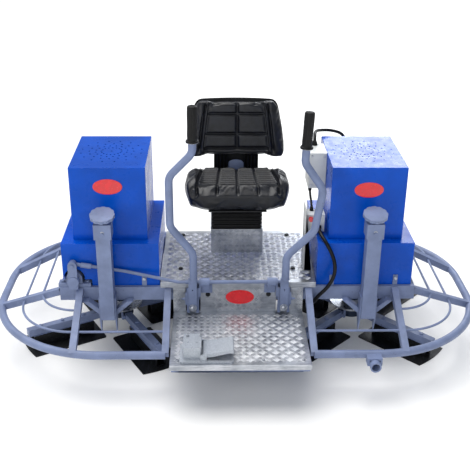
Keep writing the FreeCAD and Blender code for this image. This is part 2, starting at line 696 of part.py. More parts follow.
def belt_loop(grow):
    """Prism over both pulleys, larger than them by a margin."""
    x = ROTOR_X
    small = MOTOR_PULLEY_R + grow
    large = SHAFT_PULLEY_R + grow
    spread = MOTOR_Y - PINION_Y
    lean = math.asin((large - small) / spread)
    side = V(math.cos(lean), math.sin(lean), 0)
    other = V(-side.x, side.y, 0)
    motor = V(x, MOTOR_Y, PULLEY_Z)
    gear = V(x, PINION_Y, PULLEY_Z)
    height = V(0, 0, BELT_W)
    outline = [gear + side * large, motor + side * small, motor + other * small,
               gear + other * large]
    between = plate(outline, height)
    return between.fuse([rod(small, motor, motor + height), rod(large, gear, gear + height)])


def drive_belt():
    """Flat belt from the motor's pulley to the gearbox's."""
    return belt_loop(GAP + BELT_T).cut(belt_loop(GAP)).removeSplitter()


def motor():
    """Flange motor standing on a stool over the belt."""
    x = ROTOR_X
    base = 500.0
    stool = box(x - 118, x + 118, MOTOR_Y - 92, MOTOR_Y + 92, base, base + 10)
    stool = stool.cut(rod(20, V(x, MOTOR_Y, base - 1), V(x, MOTOR_Y, base + 11)))
    pieces = []
    for dx in (-108, 108):
        for dy in (-82, 82):
            foot = V(x + dx, MOTOR_Y + dy, DRIVE_TOP)
            pieces.append(rod(7, foot, V(foot.x, foot.y, base)))
    body = rod(MOTOR_R - 10, V(x, MOTOR_Y, base + 14), V(x, MOTOR_Y, 748))
    flange = rod(MOTOR_R, V(x, MOTOR_Y, base + 10), V(x, MOTOR_Y, base + 26))
    bell = rod(MOTOR_R - 4, V(x, MOTOR_Y, 726), V(x, MOTOR_Y, 806))
    bore = rod(18, V(x, MOTOR_Y, base - 1), V(x, MOTOR_Y, 520))
    for index in range(24):
        fin = box(MOTOR_R - 14, MOTOR_R - 2, -1.6, 1.6, base + 26, 726)
        fin.rotate(V(0, 0, 0), V(0, 0, 1), index * 15)
        fin.translate(V(x, MOTOR_Y, 0))
        pieces.append(fin)
    terminal = box(x - 45, x + 45, MOTOR_Y - MOTOR_R - 36, MOTOR_Y - MOTOR_R + 20, 600, 690)
    return fused(body, flange, bell, stool, terminal, *pieces).cut(bore)


# ---- levers and steering -------------------------------------------------------------
def pivot_brackets():
    """Fixed sleeves on the riser that the lever cradles turn in."""
    x0 = LEVER_X - 71
    x1 = LEVER_X - 35
    sleeve = rod(18, V(x0, -PIVOT_Y, PIVOT_Z), V(x1, -PIVOT_Y, PIVOT_Z))
    web = box(x0, x1, -PIVOT_Y + 2, -RISER_Y, PIVOT_Z - 40, PIVOT_Z)
    foot = box(x0 - 12, x1, -RISER_Y - 6, -RISER_Y, PIVOT_Z - 60, PIVOT_Z - 22)
    bore = rod(13 + RUNNING, V(x0 - 20, -PIVOT_Y, PIVOT_Z), V(x1 + 1, -PIVOT_Y, PIVOT_Z))
    bracket = fused(sleeve, web, foot).cut(bore)
    return [bracket, mirrored(bracket)]


def lever_cradle():
    """Plate that a lever tips on sideways; its trunnion lets it swing fore and aft."""
    x = LEVER_X
    back = -LEVER_PLATE_Y + 12
    front = back - 8
    low = FLOOR_TOP + 12
    blank = box(x - 26, x + 26, front, back, low + 16, PIVOT_Z - 24)
    prong = box(x - 26, x - 14, front, back + 8, low, low + 34)
    other_prong = box(x + 14, x + 26, front, back + 8, low, low + 34)
    wing = box(x - 34, x, front, back, PIVOT_Z - 66, PIVOT_Z - 24)
    ear = fused(box(x - 34, x - 28, front, -PIVOT_Y + 6, PIVOT_Z - 66, PIVOT_Z),
                rod(16, V(x - 34, -PIVOT_Y, PIVOT_Z), V(x - 28, -PIVOT_Y, PIVOT_Z)))
    trunnion = rod(13, V(x - 72, -PIVOT_Y, PIVOT_Z), V(x - 30, -PIVOT_Y, PIVOT_Z))
    tab = box(x + 26, x + 32, front, back + 4, PIVOT_Z - 104, PIVOT_Z - 50)
    bolt = hex_bolt(V(x + 32, back - 2, PIVOT_Z - 78), V(1, 0, 0), 8)
    stud = Part.makeCone(5, 1.5, 12, V(x + 38, back - 2, PIVOT_Z - 78), V(1, 0, 0))
    web = box(x + 22, x + 30, front, back, PIVOT_Z - 104, PIVOT_Z - 50)
    body = fused(blank, prong, other_prong, wing, ear, trunnion, tab, bolt, stud, web)
    rod_hole = rod(CROSS_ROD_D / 2.0 + 2, V(x - 80, -PIVOT_Y, PIVOT_Z),
                   V(x - 20, -PIVOT_Y, PIVOT_Z))
    hub_hole = rod(8 + RUNNING, V(x, front - 1, LEVER_HUB_Z), V(x, back + 1, LEVER_HUB_Z))
    return body.cut(rod_hole).cut(hub_hole)


def lever(points, x_sign):
    """Bent tube on its foot plate, with the hub bolt and the steering ball."""
    back = -LEVER_PLATE_Y
    front = back - LEVER_PLATE_T
    half = LEVER_PLATE_W / 2.0
    x = LEVER_X
    top = points[0].z + 8
    foot = fused(box(x - half, x + half, front, back, LEVER_HUB_Z, top),
                 rod(half, V(x, front, LEVER_HUB_Z), V(x, back, LEVER_HUB_Z)))
    foot = foot.cut(rod(3.2, V(x, front - 1, PIVOT_Z - 26), V(x, back + 1, PIVOT_Z - 26)))
    collar = rod(12, V(x, front - 4, LEVER_HUB_Z), V(x, front, LEVER_HUB_Z))
    head = hex_bolt(V(x, front - 4, LEVER_HUB_Z), V(0, -1, 0), 8.5)
    spacer = rod(14, V(x, back, LEVER_HUB_Z), V(x, back + 4 - GAP, LEVER_HUB_Z))
    pin = rod(8, V(x, back, LEVER_HUB_Z), V(x, back + 22, LEVER_HUB_Z))
    nut = rod(13, V(x, back + 12 + GAP, LEVER_HUB_Z), V(x, back + 20, LEVER_HUB_Z))
    stud = rod(5.5, V(x, back - 1, PIVOT_Z), V(x, -PIVOT_Y + 12, PIVOT_Z))
    ball = Part.makeSphere(BALL_R, V(x, -PIVOT_Y, PIVOT_Z))
    tube = bent_tube(points, LEVER_TUBE, LEVER_WALL, LEVER_BEND_R)
    base = fused(foot, collar, head, spacer, pin, nut, stud, ball)
    if x_sign < 0:
        base = mirrored(base)
    return fused(base, tube)


def lever_points(side, base_x, low, out_x, out_low, out_high_x, out_high, top_low_x, top_low,
                 grip_x, grip_top):
    """Corners of a lever's centre line, from the foot plate up to the grip."""
    y = LEVER_AXIS_Y
    return [V(side * base_x, y, PIVOT_Z + 20), V(side * base_x, y, low),
            V(side * out_x, y, out_low), V(side * out_high_x, y, out_high),
            V(side * top_low_x, y, top_low), V(side * grip_x, y, grip_top)]


def lever_grip(points):
    """Rubber sleeve closed over the lever's top, with a collar at its foot."""
    top = points[-1]
    axis = (points[-1] - points[-2]).normalize()
    low = top - axis * GRIP_LENGTH
    cap = top + axis * 5
    body = rod(GRIP_D / 2.0, low, cap)
    collar = rod(GRIP_D / 2.0 + 5, low - axis * 1, low + axis * 6)
    bore = rod(LEVER_TUBE / 2.0, low - axis * 2, top)
    return fused(body, collar).cut(bore)


def steering_eye(x, y, z):
    """Round eye that takes a steering ball, and the ball's room inside it."""
    blank = rod(EYE_R, V(x, y - EYE_T / 2.0, z), V(x, y + EYE_T / 2.0, z))
    return blank, Part.makeSphere(BALL_R + EYE_CLEARANCE, V(x, y, z))


def cross_rod():
    """Rod with an eye on each lever's ball, and a stub for the tie rod."""
    y = -PIVOT_Y
    shaft = rod(CROSS_ROD_D / 2.0, V(-LEVER_X, y, PIVOT_Z), V(LEVER_X, y, PIVOT_Z))
    left, left_room = steering_eye(-LEVER_X, y, PIVOT_Z)
    right, right_room = steering_eye(LEVER_X, y, PIVOT_Z)
    stub = rod(9, V(-LEVER_X - 30, y, PIVOT_Z), V(-LEVER_X - 6, y, PIVOT_Z))
    return fused(shaft, left, right, stub).cut(left_room).cut(right_room)


def tie_rod():
    """Rod from the cross rod's stub, bent back past the post, to the crank's ball."""
    start = V(-LEVER_X - 30, -PIVOT_Y, PIVOT_Z)
    knee = V(-LEVER_X - 62, -PIVOT_Y, PIVOT_Z)
    eye_at = V(-CRANK_X, -TIE_ROD_Y, CRANK_EYE_Z)
    slope = (eye_at.z - knee.z) / (eye_at.x - knee.x)
    bend_x = -POST_X + POST_SIZE / 2.0 + 45
    bend = V(bend_x, -TIE_ROD_Y, knee.z + slope * (bend_x - knee.x))
    run = (bend - eye_at).normalize()
    blank, room = steering_eye(eye_at.x, eye_at.y, eye_at.z)
    shaft = swept(rounded([start, knee, bend, eye_at + run * 60], 60), TIE_ROD_D / 2.0)
    nut = rod(11, eye_at + run * 34, eye_at + run * 78)
    neck = rod(8, eye_at + run * 12, eye_at + run * 36)
    return fused(shaft, blank, nut, neck).cut(room)


def bearing_block():
    """Two-bolt bearing block on the front beam for the crank's shaft."""
    x = -CRANK_X
    y0 = -BLOCK_Y - BLOCK_DEPTH / 2.0
    y1 = -BLOCK_Y + BLOCK_DEPTH / 2.0
    base = box(x - 68, x + 70, y0 + 3, y1 - 3, BEAM_TOP, BEAM_TOP + 15)
    dome = rod(34, V(x, y0 + 6, CRANK_Z), V(x, y1 - 6, CRANK_Z))
    below = box(x - 34, x + 34, y0 + 6, y1 - 6, BEAM_TOP, CRANK_Z)
    inner_race = rod(20, V(x, y0, CRANK_Z), V(x, y1, CRANK_Z))
    bolts = [hex_bolt(V(x + dx, -BLOCK_Y, BEAM_TOP + 15), V(0, 0, 1), 10) for dx in (-53, 53)]
    bore = rod(CRANK_SHAFT_D / 2.0 + RUNNING, V(x, y0 - 1, CRANK_Z), V(x, y1 + 1, CRANK_Z))
    return fused(base, dome, below, inner_race, *bolts).cut(bore)


def crank():
    """Crank shaft with its upright arm, and the ball that the tie rod turns on."""
    x = -CRANK_X
    y = -TIE_ROD_Y
    front = y - EYE_T / 2.0 - 6 - CRANK_PLATE_T
    back = front + CRANK_PLATE_T
    inner = -BLOCK_Y + BLOCK_DEPTH / 2.0 + GAP
    shaft = rod(CRANK_SHAFT_D / 2.0, V(x, front, CRANK_Z), V(x, inner + 26, CRANK_Z))
    hub = rod(24, V(x, front - 4, CRANK_Z), V(x, back + 4, CRANK_Z))
    arm = box(x - 19, x + 19, front, back, CRANK_Z - 36, CRANK_EYE_Z)
    crown = rod(19, V(x, front, CRANK_EYE_Z), V(x, back, CRANK_EYE_Z))
    stud = rod(5.5, V(x, front - 1, CRANK_EYE_Z), V(x, y, CRANK_EYE_Z))
    ball = Part.makeSphere(BALL_R, V(x, y, CRANK_EYE_Z))
    head = hex_bolt(V(x, front, CRANK_EYE_Z), V(0, -1, 0), 8)
    collar = rod(20, V(x, inner, CRANK_Z), V(x, inner + 12, CRANK_Z))
    tail = box(x - 8, x + 8, inner + 12, inner + 26, CRANK_Z, CRANK_Z + 60)
    return fused(shaft, hub, arm, crown, stud, ball, head, collar, tail)


# ---- foot switch ---------------------------------------------------------------------
SWITCH_X = -180.0
SWITCH_Y = -598.0
TREADLE_PIVOT_X = SWITCH_X + 38
TREADLE_PIVOT_Z = FLOOR_TOP + 24


def foot_switch_case():
    """Cast tray and switch housing on the floor plate, with the treadle's pin."""
    tray = box(SWITCH_X - 60, SWITCH_X + 152, SWITCH_Y - 73, SWITCH_Y + 54, FLOOR_TOP,
               FLOOR_TOP + 9)
    upright = [edge for edge in tray.Edges if abs(edge.Length - 9) < 0.01]
    tray = tray.makeFillet(10, upright)
    recess = box(SWITCH_X + 62, SWITCH_X + 144, SWITCH_Y - 62, SWITCH_Y + 46, FLOOR_TOP + 5,
                 FLOOR_TOP + 10)
    housing = box(SWITCH_X - 46, SWITCH_X + 26, SWITCH_Y - 54, SWITCH_Y + 52, FLOOR_TOP + 9,
                  FLOOR_TOP + 60)
    tall = [edge for edge in housing.Edges if abs(edge.Length - 51) < 0.01]
    housing = housing.makeFillet(6, tall)
    lugs = []
    for y in (SWITCH_Y - 62, SWITCH_Y + 50):
        lugs.append(box(SWITCH_X + 22, TREADLE_PIVOT_X + 9, y - 4, y + 4, FLOOR_TOP + 8,
                        TREADLE_PIVOT_Z + 9))
    pin = rod(4, V(TREADLE_PIVOT_X, SWITCH_Y - 68, TREADLE_PIVOT_Z),
              V(TREADLE_PIVOT_X, SWITCH_Y + 56, TREADLE_PIVOT_Z))
    screws = [rod(5, V(SWITCH_X + dx, SWITCH_Y - 8, FLOOR_TOP + 58),
                  V(SWITCH_X + dx, SWITCH_Y - 8, FLOOR_TOP + 62)) for dx in (-28, 8)]
    return fused(tray.cut(recess), housing, pin, *(lugs + screws))


def foot_treadle():
    """Pedal plate that turns on the housing's pin."""
    y0 = SWITCH_Y - 57
    y1 = SWITCH_Y + 45
    x = TREADLE_PIVOT_X
    z = TREADLE_PIVOT_Z
    outline = [V(x - 3, y0, z + 7), V(x + 18, y0, z + 11), V(x + 112, y0, z + 26),
               V(x + 116, y0, z + 23), V(x + 114, y0, z + 12), V(x + 100, y0, z + 13),
               V(x + 30, y0, z - 4), V(x + 4, y0, z - 7)]
    body = plate(outline, V(0, y1 - y0, 0))
    under = [V(x + 12, y0, z - 12), V(x + 20, y0, z + 4), V(x + 110, y0, z + 20),
             V(x + 110, y0, z - 12)]
    hollow = plate(under, V(0, y1 - y0 - 12, 0))
    hollow.translate(V(0, 6, 0))
    boss = rod(8, V(x, y0, z), V(x, y1, z))
    bore = rod(4 + RUNNING, V(x, y0 - 1, z), V(x, y1 + 1, z))
    return fused(body.cut(hollow), boss).cut(bore)


# ---- electrics -----------------------------------------------------------------------
BOX_X = (307.0, HOOD_X - HOOD_W / 2.0)
BOX_Y = (-29.0, 101.0)
BOX_Z = (690.0, HOOD_TOP)
SWITCH_BOX_X = (292.0, 372.0)
SWITCH_BOX_Y = (-150.0, -90.0)
SWITCH_BOX_Z = (COVER_TOP + 10, COVER_TOP + 90)
BUTTON_R = 11.0
BUTTON_TRAVEL = 5.0
MOTOR_LEAD_R = 7.0
SWITCH_LEAD_R = 5.0
CONDUIT_R = 8.0


def control_box():
    """Control box on the right hood's inner side."""
    outside = box(BOX_X[0], BOX_X[1], BOX_Y[0], BOX_Y[1], BOX_Z[0], BOX_Z[1])
    upright = [edge for edge in outside.Edges if abs(edge.Length - BOX_Z[1] + BOX_Z[0]) < 0.01]
    outside = outside.makeFillet(4, upright)
    inside = box(BOX_X[0] + 3, BOX_X[1] - 3, BOX_Y[0] + 3, BOX_Y[1] - 3, BOX_Z[0] + 3,
                 BOX_Z[1] - 3)
    return outside.cut(inside)


def switch_box():
    """Small switch box on its sheet bracket beside the deck."""
    x0, x1 = SWITCH_BOX_X
    y0, y1 = SWITCH_BOX_Y
    z0, z1 = SWITCH_BOX_Z
    case = box(x0, x1, y0, y1, z0, z1).cut(box(x0 + 3, x1 - 3, y0 + 3, y1 - 3, z0 + 3, z1 - 3))
    stem = box(x0 - 3, x0, y0 - 16, y1 + 26, DECK_TOP, z1 + 24)
    foot = box(x0, x0 + 30, y0 - 16, y1 + 26, DECK_TOP, DECK_TOP + 3)
    bore = rod(BUTTON_R - 4 + GAP, V(x0 + 20, y0 - 5, z1 - 18), V(x0 + 20, y0 + 4, z1 - 18))
    return fused(case, stem, foot).cut(bore)


def stop_button():
    """Round push button on the switch box's front."""
    x = SWITCH_BOX_X[0] + 20
    y = SWITCH_BOX_Y[0]
    z = SWITCH_BOX_Z[1] - 18
    cap = rod(BUTTON_R, V(x, y - BUTTON_TRAVEL - 9, z), V(x, y - BUTTON_TRAVEL - 1, z))
    stem = rod(BUTTON_R - 4, V(x, y - BUTTON_TRAVEL - 2, z), V(x, y + 8, z))
    return fused(cap, stem)


def cables():
    """Two leads and the conduit, each held at both ends by what it enters."""
    box_face, box_low = SWITCH_BOX_Y[0], BOX_Z[0]
    motor_lead = [V(340, 80, HOOD_TOP), V(340, 80, 880), V(348, 150, 888), V(372, 222, 872),
                  V(438, 254, 862), V(498, 266, 838), V(505, 262, 778), V(505, HOOD_BACK_Y, 778)]
    switch_lead = [V(318, -10, box_low), V(318, -10, 664), V(318, -106, 644),
                   V(318, -106, SWITCH_BOX_Z[1])]
    face = -COVER_FRONT_Y
    conduit = [V(345, box_face, 558), V(345, -206, 558), V(372, face - 18, 532),
               V(402, face - 46, 474), V(408, face - 56, 412), V(384, face - 58, 354),
               V(344, face - 48, 302), V(322, face - 16, 252), V(336, -212, 222),
               V(364, -162, 226), V(380, -140, 276), V(380, -140, BEAM_TOP)]
    return [swept(rounded(motor_lead), MOTOR_LEAD_R), swept(rounded(switch_lead), SWITCH_LEAD_R),
            swept(rounded(conduit), CONDUIT_R)]


# ---- seat ----------------------------------------------------------------------------
def pedestal():
    """Plate box that carries the seat's suspension."""
    half = PEDESTAL_W / 2.0
    outside = box(-half, half, PEDESTAL_FRONT_Y, PEDESTAL_BACK_Y, DECK_TOP, PEDESTAL_TOP)
    inside = box(-half + 3, half - 3, PEDESTAL_FRONT_Y + 3, PEDESTAL_BACK_Y - 3, DECK_TOP - 1,
                 PEDESTAL_TOP - 3)
    return outside.cut(inside)


def suspension():
    """Seat suspension in its boot, with the lower slide rails on top."""
    half = PEDESTAL_W / 2.0 - 3
    y0 = PEDESTAL_FRONT_Y + 3
    y1 = PEDESTAL_BACK_Y - 3
    boot = box(-half, half, y0, y1, PEDESTAL_TOP, SUSPENSION_TOP)
    rails = []
    for x in (-92, 92):
        rails.append(box(x - 14, x + 14, y0 - 6, y1 + 40, SUSPENSION_TOP, SUSPENSION_TOP + 6))
        rails.append(box(x - 5, x + 5, y0 - 6, y1 + 40, SUSPENSION_TOP, SUSPENSION_TOP + 14))
    return fused(boot, *rails)


def seat_pan():
    """Upper slide rails, seat pan and the arms that hold the backrest's hinge."""
    y0 = PEDESTAL_FRONT_Y - 40
    y1 = PEDESTAL_BACK_Y + 10
    pieces = []
    for x in (-92, 92):
        low = SUSPENSION_TOP + 6 + GAP
        rail = box(x - 17, x + 17, y0, y1, low, SEAT_BOTTOM - 6)
        groove = box(x - 5 - GAP, x + 5 + GAP, y0 - 1, y1 + 1, low - 1, SUSPENSION_TOP + 14 + GAP)
        pieces.append(rail.cut(groove))
    half = PEDESTAL_W / 2.0 + PAN_OVERHANG
    pan = box(-half, half, SEAT_FRONT_Y + 40, SEAT_BACK_Y - 24, SEAT_BOTTOM - 6, SEAT_BOTTOM)
    pin = rod(5, V(-66, HINGE_Y, HINGE_Z), V(66, HINGE_Y, HINGE_Z))
    for x in (-60, 54):
        rear = SEAT_BACK_Y - 60
        outline = [V(x, rear, SEAT_BOTTOM - 6), V(x, HINGE_Y + 4, SEAT_BOTTOM - 6),
                   V(x, HINGE_Y + 16, HINGE_Z + 12), V(x, HINGE_Y - 16, HINGE_Z + 12),
                   V(x, HINGE_Y - 34, SEAT_BOTTOM), V(x, rear, SEAT_BOTTOM)]
        pieces.append(plate(outline, V(6, 0, 0)))
    return fused(pan, pin, *pieces)


def seat_cushion():
    """Seat cushion, plain: tapered block, lower at the rear, with rounded corners."""
    half = SEAT_W / 2.0
    rear_top = SEAT_TOP - SEAT_DROP
    outline = [V(-half, SEAT_FRONT_Y, SEAT_BOTTOM + 30), V(-half, SEAT_FRONT_Y, SEAT_TOP - 24),
               V(-half, SEAT_FRONT_Y + 32, SEAT_TOP), V(-half, SEAT_BACK_Y - 20, rear_top + 12),
               V(-half, SEAT_BACK_Y, rear_top - 10), V(-half, SEAT_BACK_Y, SEAT_BOTTOM + GAP),
               V(-half, SEAT_FRONT_Y + 60, SEAT_BOTTOM + GAP)]
    body = plate(outline, V(SEAT_W, 0, 0))
    for side in (-1, 1):
        skirt = [V(side * half, SEAT_FRONT_Y - 1, SEAT_BOTTOM - 1),
                 V(side * half, SEAT_FRONT_Y - 1, SEAT_BOTTOM + 86),
                 V(side * (half - 44), SEAT_FRONT_Y - 1, SEAT_BOTTOM - 1)]
        body = body.cut(plate(skirt, V(0, SEAT_BACK_Y - SEAT_FRONT_Y + 2, 0)))
    return body


def backrest():
    """Backrest, plain: tapered pad with rounded top corners, leaning back."""
    low = BACK_W / 2.0
    high = 178.0
    y = BACK_FRONT_Y
    outline = [V(-low + 14, y, BACK_LOW), V(low - 14, y, BACK_LOW), V(low, y, BACK_LOW + 26),
               V(low - 18, y, BACK_LOW + 130), V(high, y, BACK_HIGH - 16), V(high - 20, y, BACK_HIGH),
               V(-high + 20, y, BACK_HIGH), V(-high, y, BACK_HIGH - 16),
               V(-low + 18, y, BACK_LOW + 130), V(-low, y, BACK_LOW + 26)]
    pad = plate(outline, V(0, BACK_THICK, 0))
    pad.rotate(V(0, y, BACK_LOW), V(1, 0, 0), -8)
    return pad


def back_bracket():
    """Bracket from the hinge up into the backrest, with its pleated boot."""
    boot_front = BACK_FRONT_Y + 14
    stem_y = BACK_FRONT_Y + 64
    stem = box(-50, 50, stem_y, stem_y + 8, HINGE_Z + 12, BACK_LOW + 24)
    knuckle = rod(14, V(-52, HINGE_Y, HINGE_Z), V(52, HINGE_Y, HINGE_Z))
    link = box(-50, 50, stem_y, HINGE_Y + 8, HINGE_Z + 2, HINGE_Z + 22)
    boot = box(-105, 105, boot_front, stem_y, HINGE_Z + 22, BACK_LOW + 12)
    bore = rod(5 + RUNNING, V(-70, HINGE_Y, HINGE_Z), V(70, HINGE_Y, HINGE_Z))
    body = fused(stem, knuckle, link, boot)
    return body.cut(bore).cut(backrest())


# ---- hand-over -----------------------------------------------------------------------
LEFT_LEVER = lever_points(-1, 190, 513, 283, 636, 283, 853, 188, 951, 186, 1140)
RIGHT_LEVER = lever_points(1, 197, 499, 308, 612, 336, 797, 257, 911, 267, 1116)


def build():
    """Make and write every node."""
    save("main_frame", main_frame())
    save("floor_plate", floor_plate())
    save("riser_plate", riser_plate())
    save("seat_deck", seat_deck())
    save_pair("guard", guard())
    save("tow_socket", tow_socket())
    save_pair("hood", hood())
    save("right_lower_cover", lower_cover())
    save("left_lower_cover", mirrored(lower_cover()).cut(crank_opening()))
    save("cover_lugs", cover_lugs())
    save_pair("leg_post", leg_post())
    save_pair("leg_foot", leg_foot())
    save_pair("gearbox", gearbox_casing())
    save_pair("gear_shaft", gear_shaft())
    save_pair("motor_pulley", motor_pulley())
    save_pair("motor", motor())
    save("drive_belts", [drive_belt(), mirrored(drive_belt())])
    save("right_rotor_shaft", rotor_shaft(RIGHT_ARM_ANGLE))
    save("left_rotor_shaft", mirrored(rotor_shaft(180 - LEFT_ARM_ANGLE)))
    save_pair("thrust_collar", thrust_collar())
    for side, hand, first in (("left", 1, LEFT_ARM_ANGLE), ("right", -1, RIGHT_ARM_ANGLE)):
        for index in range(ARM_COUNT):
            name = side + "_trowel_arm_" + str(index + 1)
            save(name, trowel_arm(first + index * 360.0 / ARM_COUNT, hand))
    save("pivot_brackets", pivot_brackets())
    save_pair("lever_cradle", lever_cradle())
    save("left_lever", lever(LEFT_LEVER, -1))
    save("right_lever", lever(RIGHT_LEVER, 1))
    save("left_grip", lever_grip(LEFT_LEVER))
    save("right_grip", lever_grip(RIGHT_LEVER))
    save("cross_rod", cross_rod())
    save("tie_rod", tie_rod())
    save("bearing_block", bearing_block())
    save("crank", crank())
    save("foot_switch_case", foot_switch_case())
    save("foot_treadle", foot_treadle())
    save("control_box", control_box())
    save("switch_box", switch_box())
    save("stop_button", stop_button())
    save("cables", cables())
    save("pedestal", pedestal())
    save("suspension", suspension())
    save("seat_pan", seat_pan())
    save("seat_cushion", seat_cushion())
    save("backrest", backrest())
    save("back_bracket", back_bracket())


os.makedirs("parts", exist_ok=True)
build()
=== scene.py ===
"""Looks of a twin-rotor ride-on power trowel, built round its packed CAD frame.

Metres, +X from the left hood to the right hood, -Y towards the floor plate, +Z up.
"""
import json
import math

import bmesh
import bpy
import numpy as np
from bpy.props import FloatProperty, FloatVectorProperty, IntProperty, PointerProperty
from mathutils import Matrix, Vector

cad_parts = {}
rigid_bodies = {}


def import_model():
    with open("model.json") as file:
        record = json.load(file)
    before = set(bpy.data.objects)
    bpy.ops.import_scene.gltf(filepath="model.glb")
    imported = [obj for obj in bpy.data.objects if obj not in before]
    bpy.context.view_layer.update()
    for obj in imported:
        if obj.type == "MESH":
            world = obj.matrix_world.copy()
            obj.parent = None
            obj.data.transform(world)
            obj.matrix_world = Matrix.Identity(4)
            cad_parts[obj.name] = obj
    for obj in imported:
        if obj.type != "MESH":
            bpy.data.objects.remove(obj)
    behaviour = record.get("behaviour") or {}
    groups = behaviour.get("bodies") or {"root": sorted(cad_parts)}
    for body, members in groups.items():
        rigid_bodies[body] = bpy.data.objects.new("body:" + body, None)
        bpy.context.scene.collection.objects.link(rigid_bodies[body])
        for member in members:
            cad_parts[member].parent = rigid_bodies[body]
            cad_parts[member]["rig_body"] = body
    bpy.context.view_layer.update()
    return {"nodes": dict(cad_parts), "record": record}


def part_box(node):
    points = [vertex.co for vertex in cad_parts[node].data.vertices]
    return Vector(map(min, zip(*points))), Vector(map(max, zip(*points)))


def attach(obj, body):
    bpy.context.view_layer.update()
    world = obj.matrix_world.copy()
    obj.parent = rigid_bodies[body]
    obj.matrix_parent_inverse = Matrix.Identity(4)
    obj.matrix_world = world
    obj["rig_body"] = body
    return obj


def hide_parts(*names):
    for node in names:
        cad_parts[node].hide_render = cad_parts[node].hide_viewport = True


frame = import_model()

NODES = frame["nodes"]
SIDES = ("left", "right")

bl_info = {
    "name": "Ride-on Power Trowel",
    "version": (1, 0, 0),
    "blender": (4, 5, 0),
    "location": "View3D > Sidebar > Trowel",
    "description": "Finishes, seat, tread plate, grips, leads and stage of a ride-on power trowel",
    "category": "Object",
}


# ---- sizes and colours that a user would change ----
def length(name, metres, description):
    """A length property, shown in the scene's units."""
    return FloatProperty(name=name, default=metres, description=description, unit="LENGTH",
                         subtype="DISTANCE", precision=4)


def angle(name, radians, description):
    """An angle property."""
    return FloatProperty(name=name, default=radians, description=description, unit="ROTATION",
                         subtype="ANGLE")


def hue(name, code, description):
    """A colour property, given as an sRGB hex value."""
    return FloatVectorProperty(name=name, default=linear(code)[:3], size=3, min=0, max=1,
                               description=description, subtype="COLOR")


def linear(code):
    """sRGB hex value as linear red, green, blue and alpha."""
    shares = [int(code[i:i + 2], 16) / 255 for i in (1, 3, 5)]
    curve = [s / 12.92 if s <= 0.04045 else ((s + 0.055) / 1.055) ** 2.4 for s in shares]
    return (*curve, 1.0)


class PaintColours(bpy.types.PropertyGroup):
    """Colours of the painted steel."""
    hood: hue("Hood", "#004CB8", "Enamel of the hoods and lower covers")
    frame: hue("Frame", "#7481A2", "Enamel of the frame, guards, legs and levers")
    gearbox: hue("Gearbox", "#2B3547", "Enamel of the gearboxes and rotor hubs")
    enclosure: hue("Enclosure", "#C6C9C8", "Enamel of the control and switch boxes")


class SheetEdges(bpy.types.PropertyGroup):
    """Rounding of the fabricated parts' edges."""
    hood: length("Hood bend", 0.004, "Radius of the hoods' folded edges")
    section: length("Section", 0.0022, "Radius of the frame sections' edges")
    casting: length("Casting", 0.0016, "Radius of small castings' and plates' edges")


class TreadSizes(bpy.types.PropertyGroup):
    """Five-bar tread plate."""
    pitch: length("Pitch", 0.026, "Distance between groups of bars")
    bar_length: length("Bar length", 0.0245, "Length of one raised bar")
    bar_width: length("Bar width", 0.0026, "Width of one raised bar")
    rise: length("Rise", 0.0015, "Height of the bars above the plate")
    bars: IntProperty(name="Bars", default=5, min=1, max=7, description="Bars in a group")


class SeatSizes(bpy.types.PropertyGroup):
    """Seat padding."""
    voxel: length("Voxel", 0.0055, "Remesh size of the padding before it is inflated")
    pressure: FloatProperty(name="Pressure", default=4.0, description="Inflation of the foam")
    reach: length("Reach", 0.012, "Furthest that a point of the padding may move")
    groove: length("Groove", 0.0125, "Depth of the main moulded grooves")
    rib_pitch: length("Rib pitch", 0.0260, "Distance between the cushion's cross ribs")
    rib_depth: length("Rib depth", 0.0120, "Depth between the cushion's cross ribs")


class BadgeSizes(bpy.types.PropertyGroup):
    """Plain oval badges."""
    width: length("Width", 0.122, "Width of a badge")
    height: length("Height", 0.068, "Height of a badge")


class StageSizes(bpy.types.PropertyGroup):
    """Camera and studio."""
    eye: FloatVectorProperty(name="Eye", default=(-0.1029, -3.3629, 2.0697), size=3,
                             description="Where the camera stands", subtype="TRANSLATION")
    heading: angle("Heading", 0.0276, "Turn towards +X")
    tilt: angle("Tilt", 0.4428, "Downward tilt")
    roll: angle("Roll", 0.0094, "Roll of the camera")
    lens: FloatProperty(name="Lens", default=64.18, description="Focal length",
                        subtype="DISTANCE_CAMERA", unit="CAMERA")


GROUPS = {"trowel_paint": PaintColours, "trowel_edges": SheetEdges, "trowel_tread": TreadSizes,
          "trowel_seat": SeatSizes, "trowel_badge": BadgeSizes, "trowel_stage": StageSizes}


def settings(name):
    """One of the scene's property groups."""
    return getattr(bpy.context.scene, "trowel_" + name)


# ---- material helpers ----
def add_node(tree, kind, inputs=None, **choices):
    """Add a node; inputs holds a value or another node's output for each socket."""
    made = tree.nodes.new(kind)
    for name, choice in choices.items():
        setattr(made, name, choice)
    for socket, value in (inputs or {}).items():
        if isinstance(value, bpy.types.NodeSocket):
            tree.links.new(value, made.inputs[socket])
        else:
            made.inputs[socket].default_value = value
    return made


def finish_of(name, colour, roughness, **sockets):
    """Material with a Principled surface, ready for its patterns."""
    material = bpy.data.materials.new(name)
    material.use_nodes = True
    tree = material.node_tree
    shader = tree.nodes["Principled BSDF"]
    shader.inputs["Base Color"].default_value = (*colour[:3], 1.0)
    shader.inputs["Roughness"].default_value = roughness
    for socket, value in sockets.items():
        shader.inputs[socket.replace("_", " ")].default_value = value
    place = add_node(tree, "ShaderNodeTexCoord")
    return material, tree, shader, place.outputs["Object"]


def patches(tree, place, size_mm, detail=3.0):
    """Soft random patches of a real size."""
    noise = add_node(tree, "ShaderNodeTexNoise", {"Vector": place, "Scale": 1000.0 / size_mm,
                                                  "Detail": detail, "Roughness": 0.6})
    return noise.outputs["Fac"]


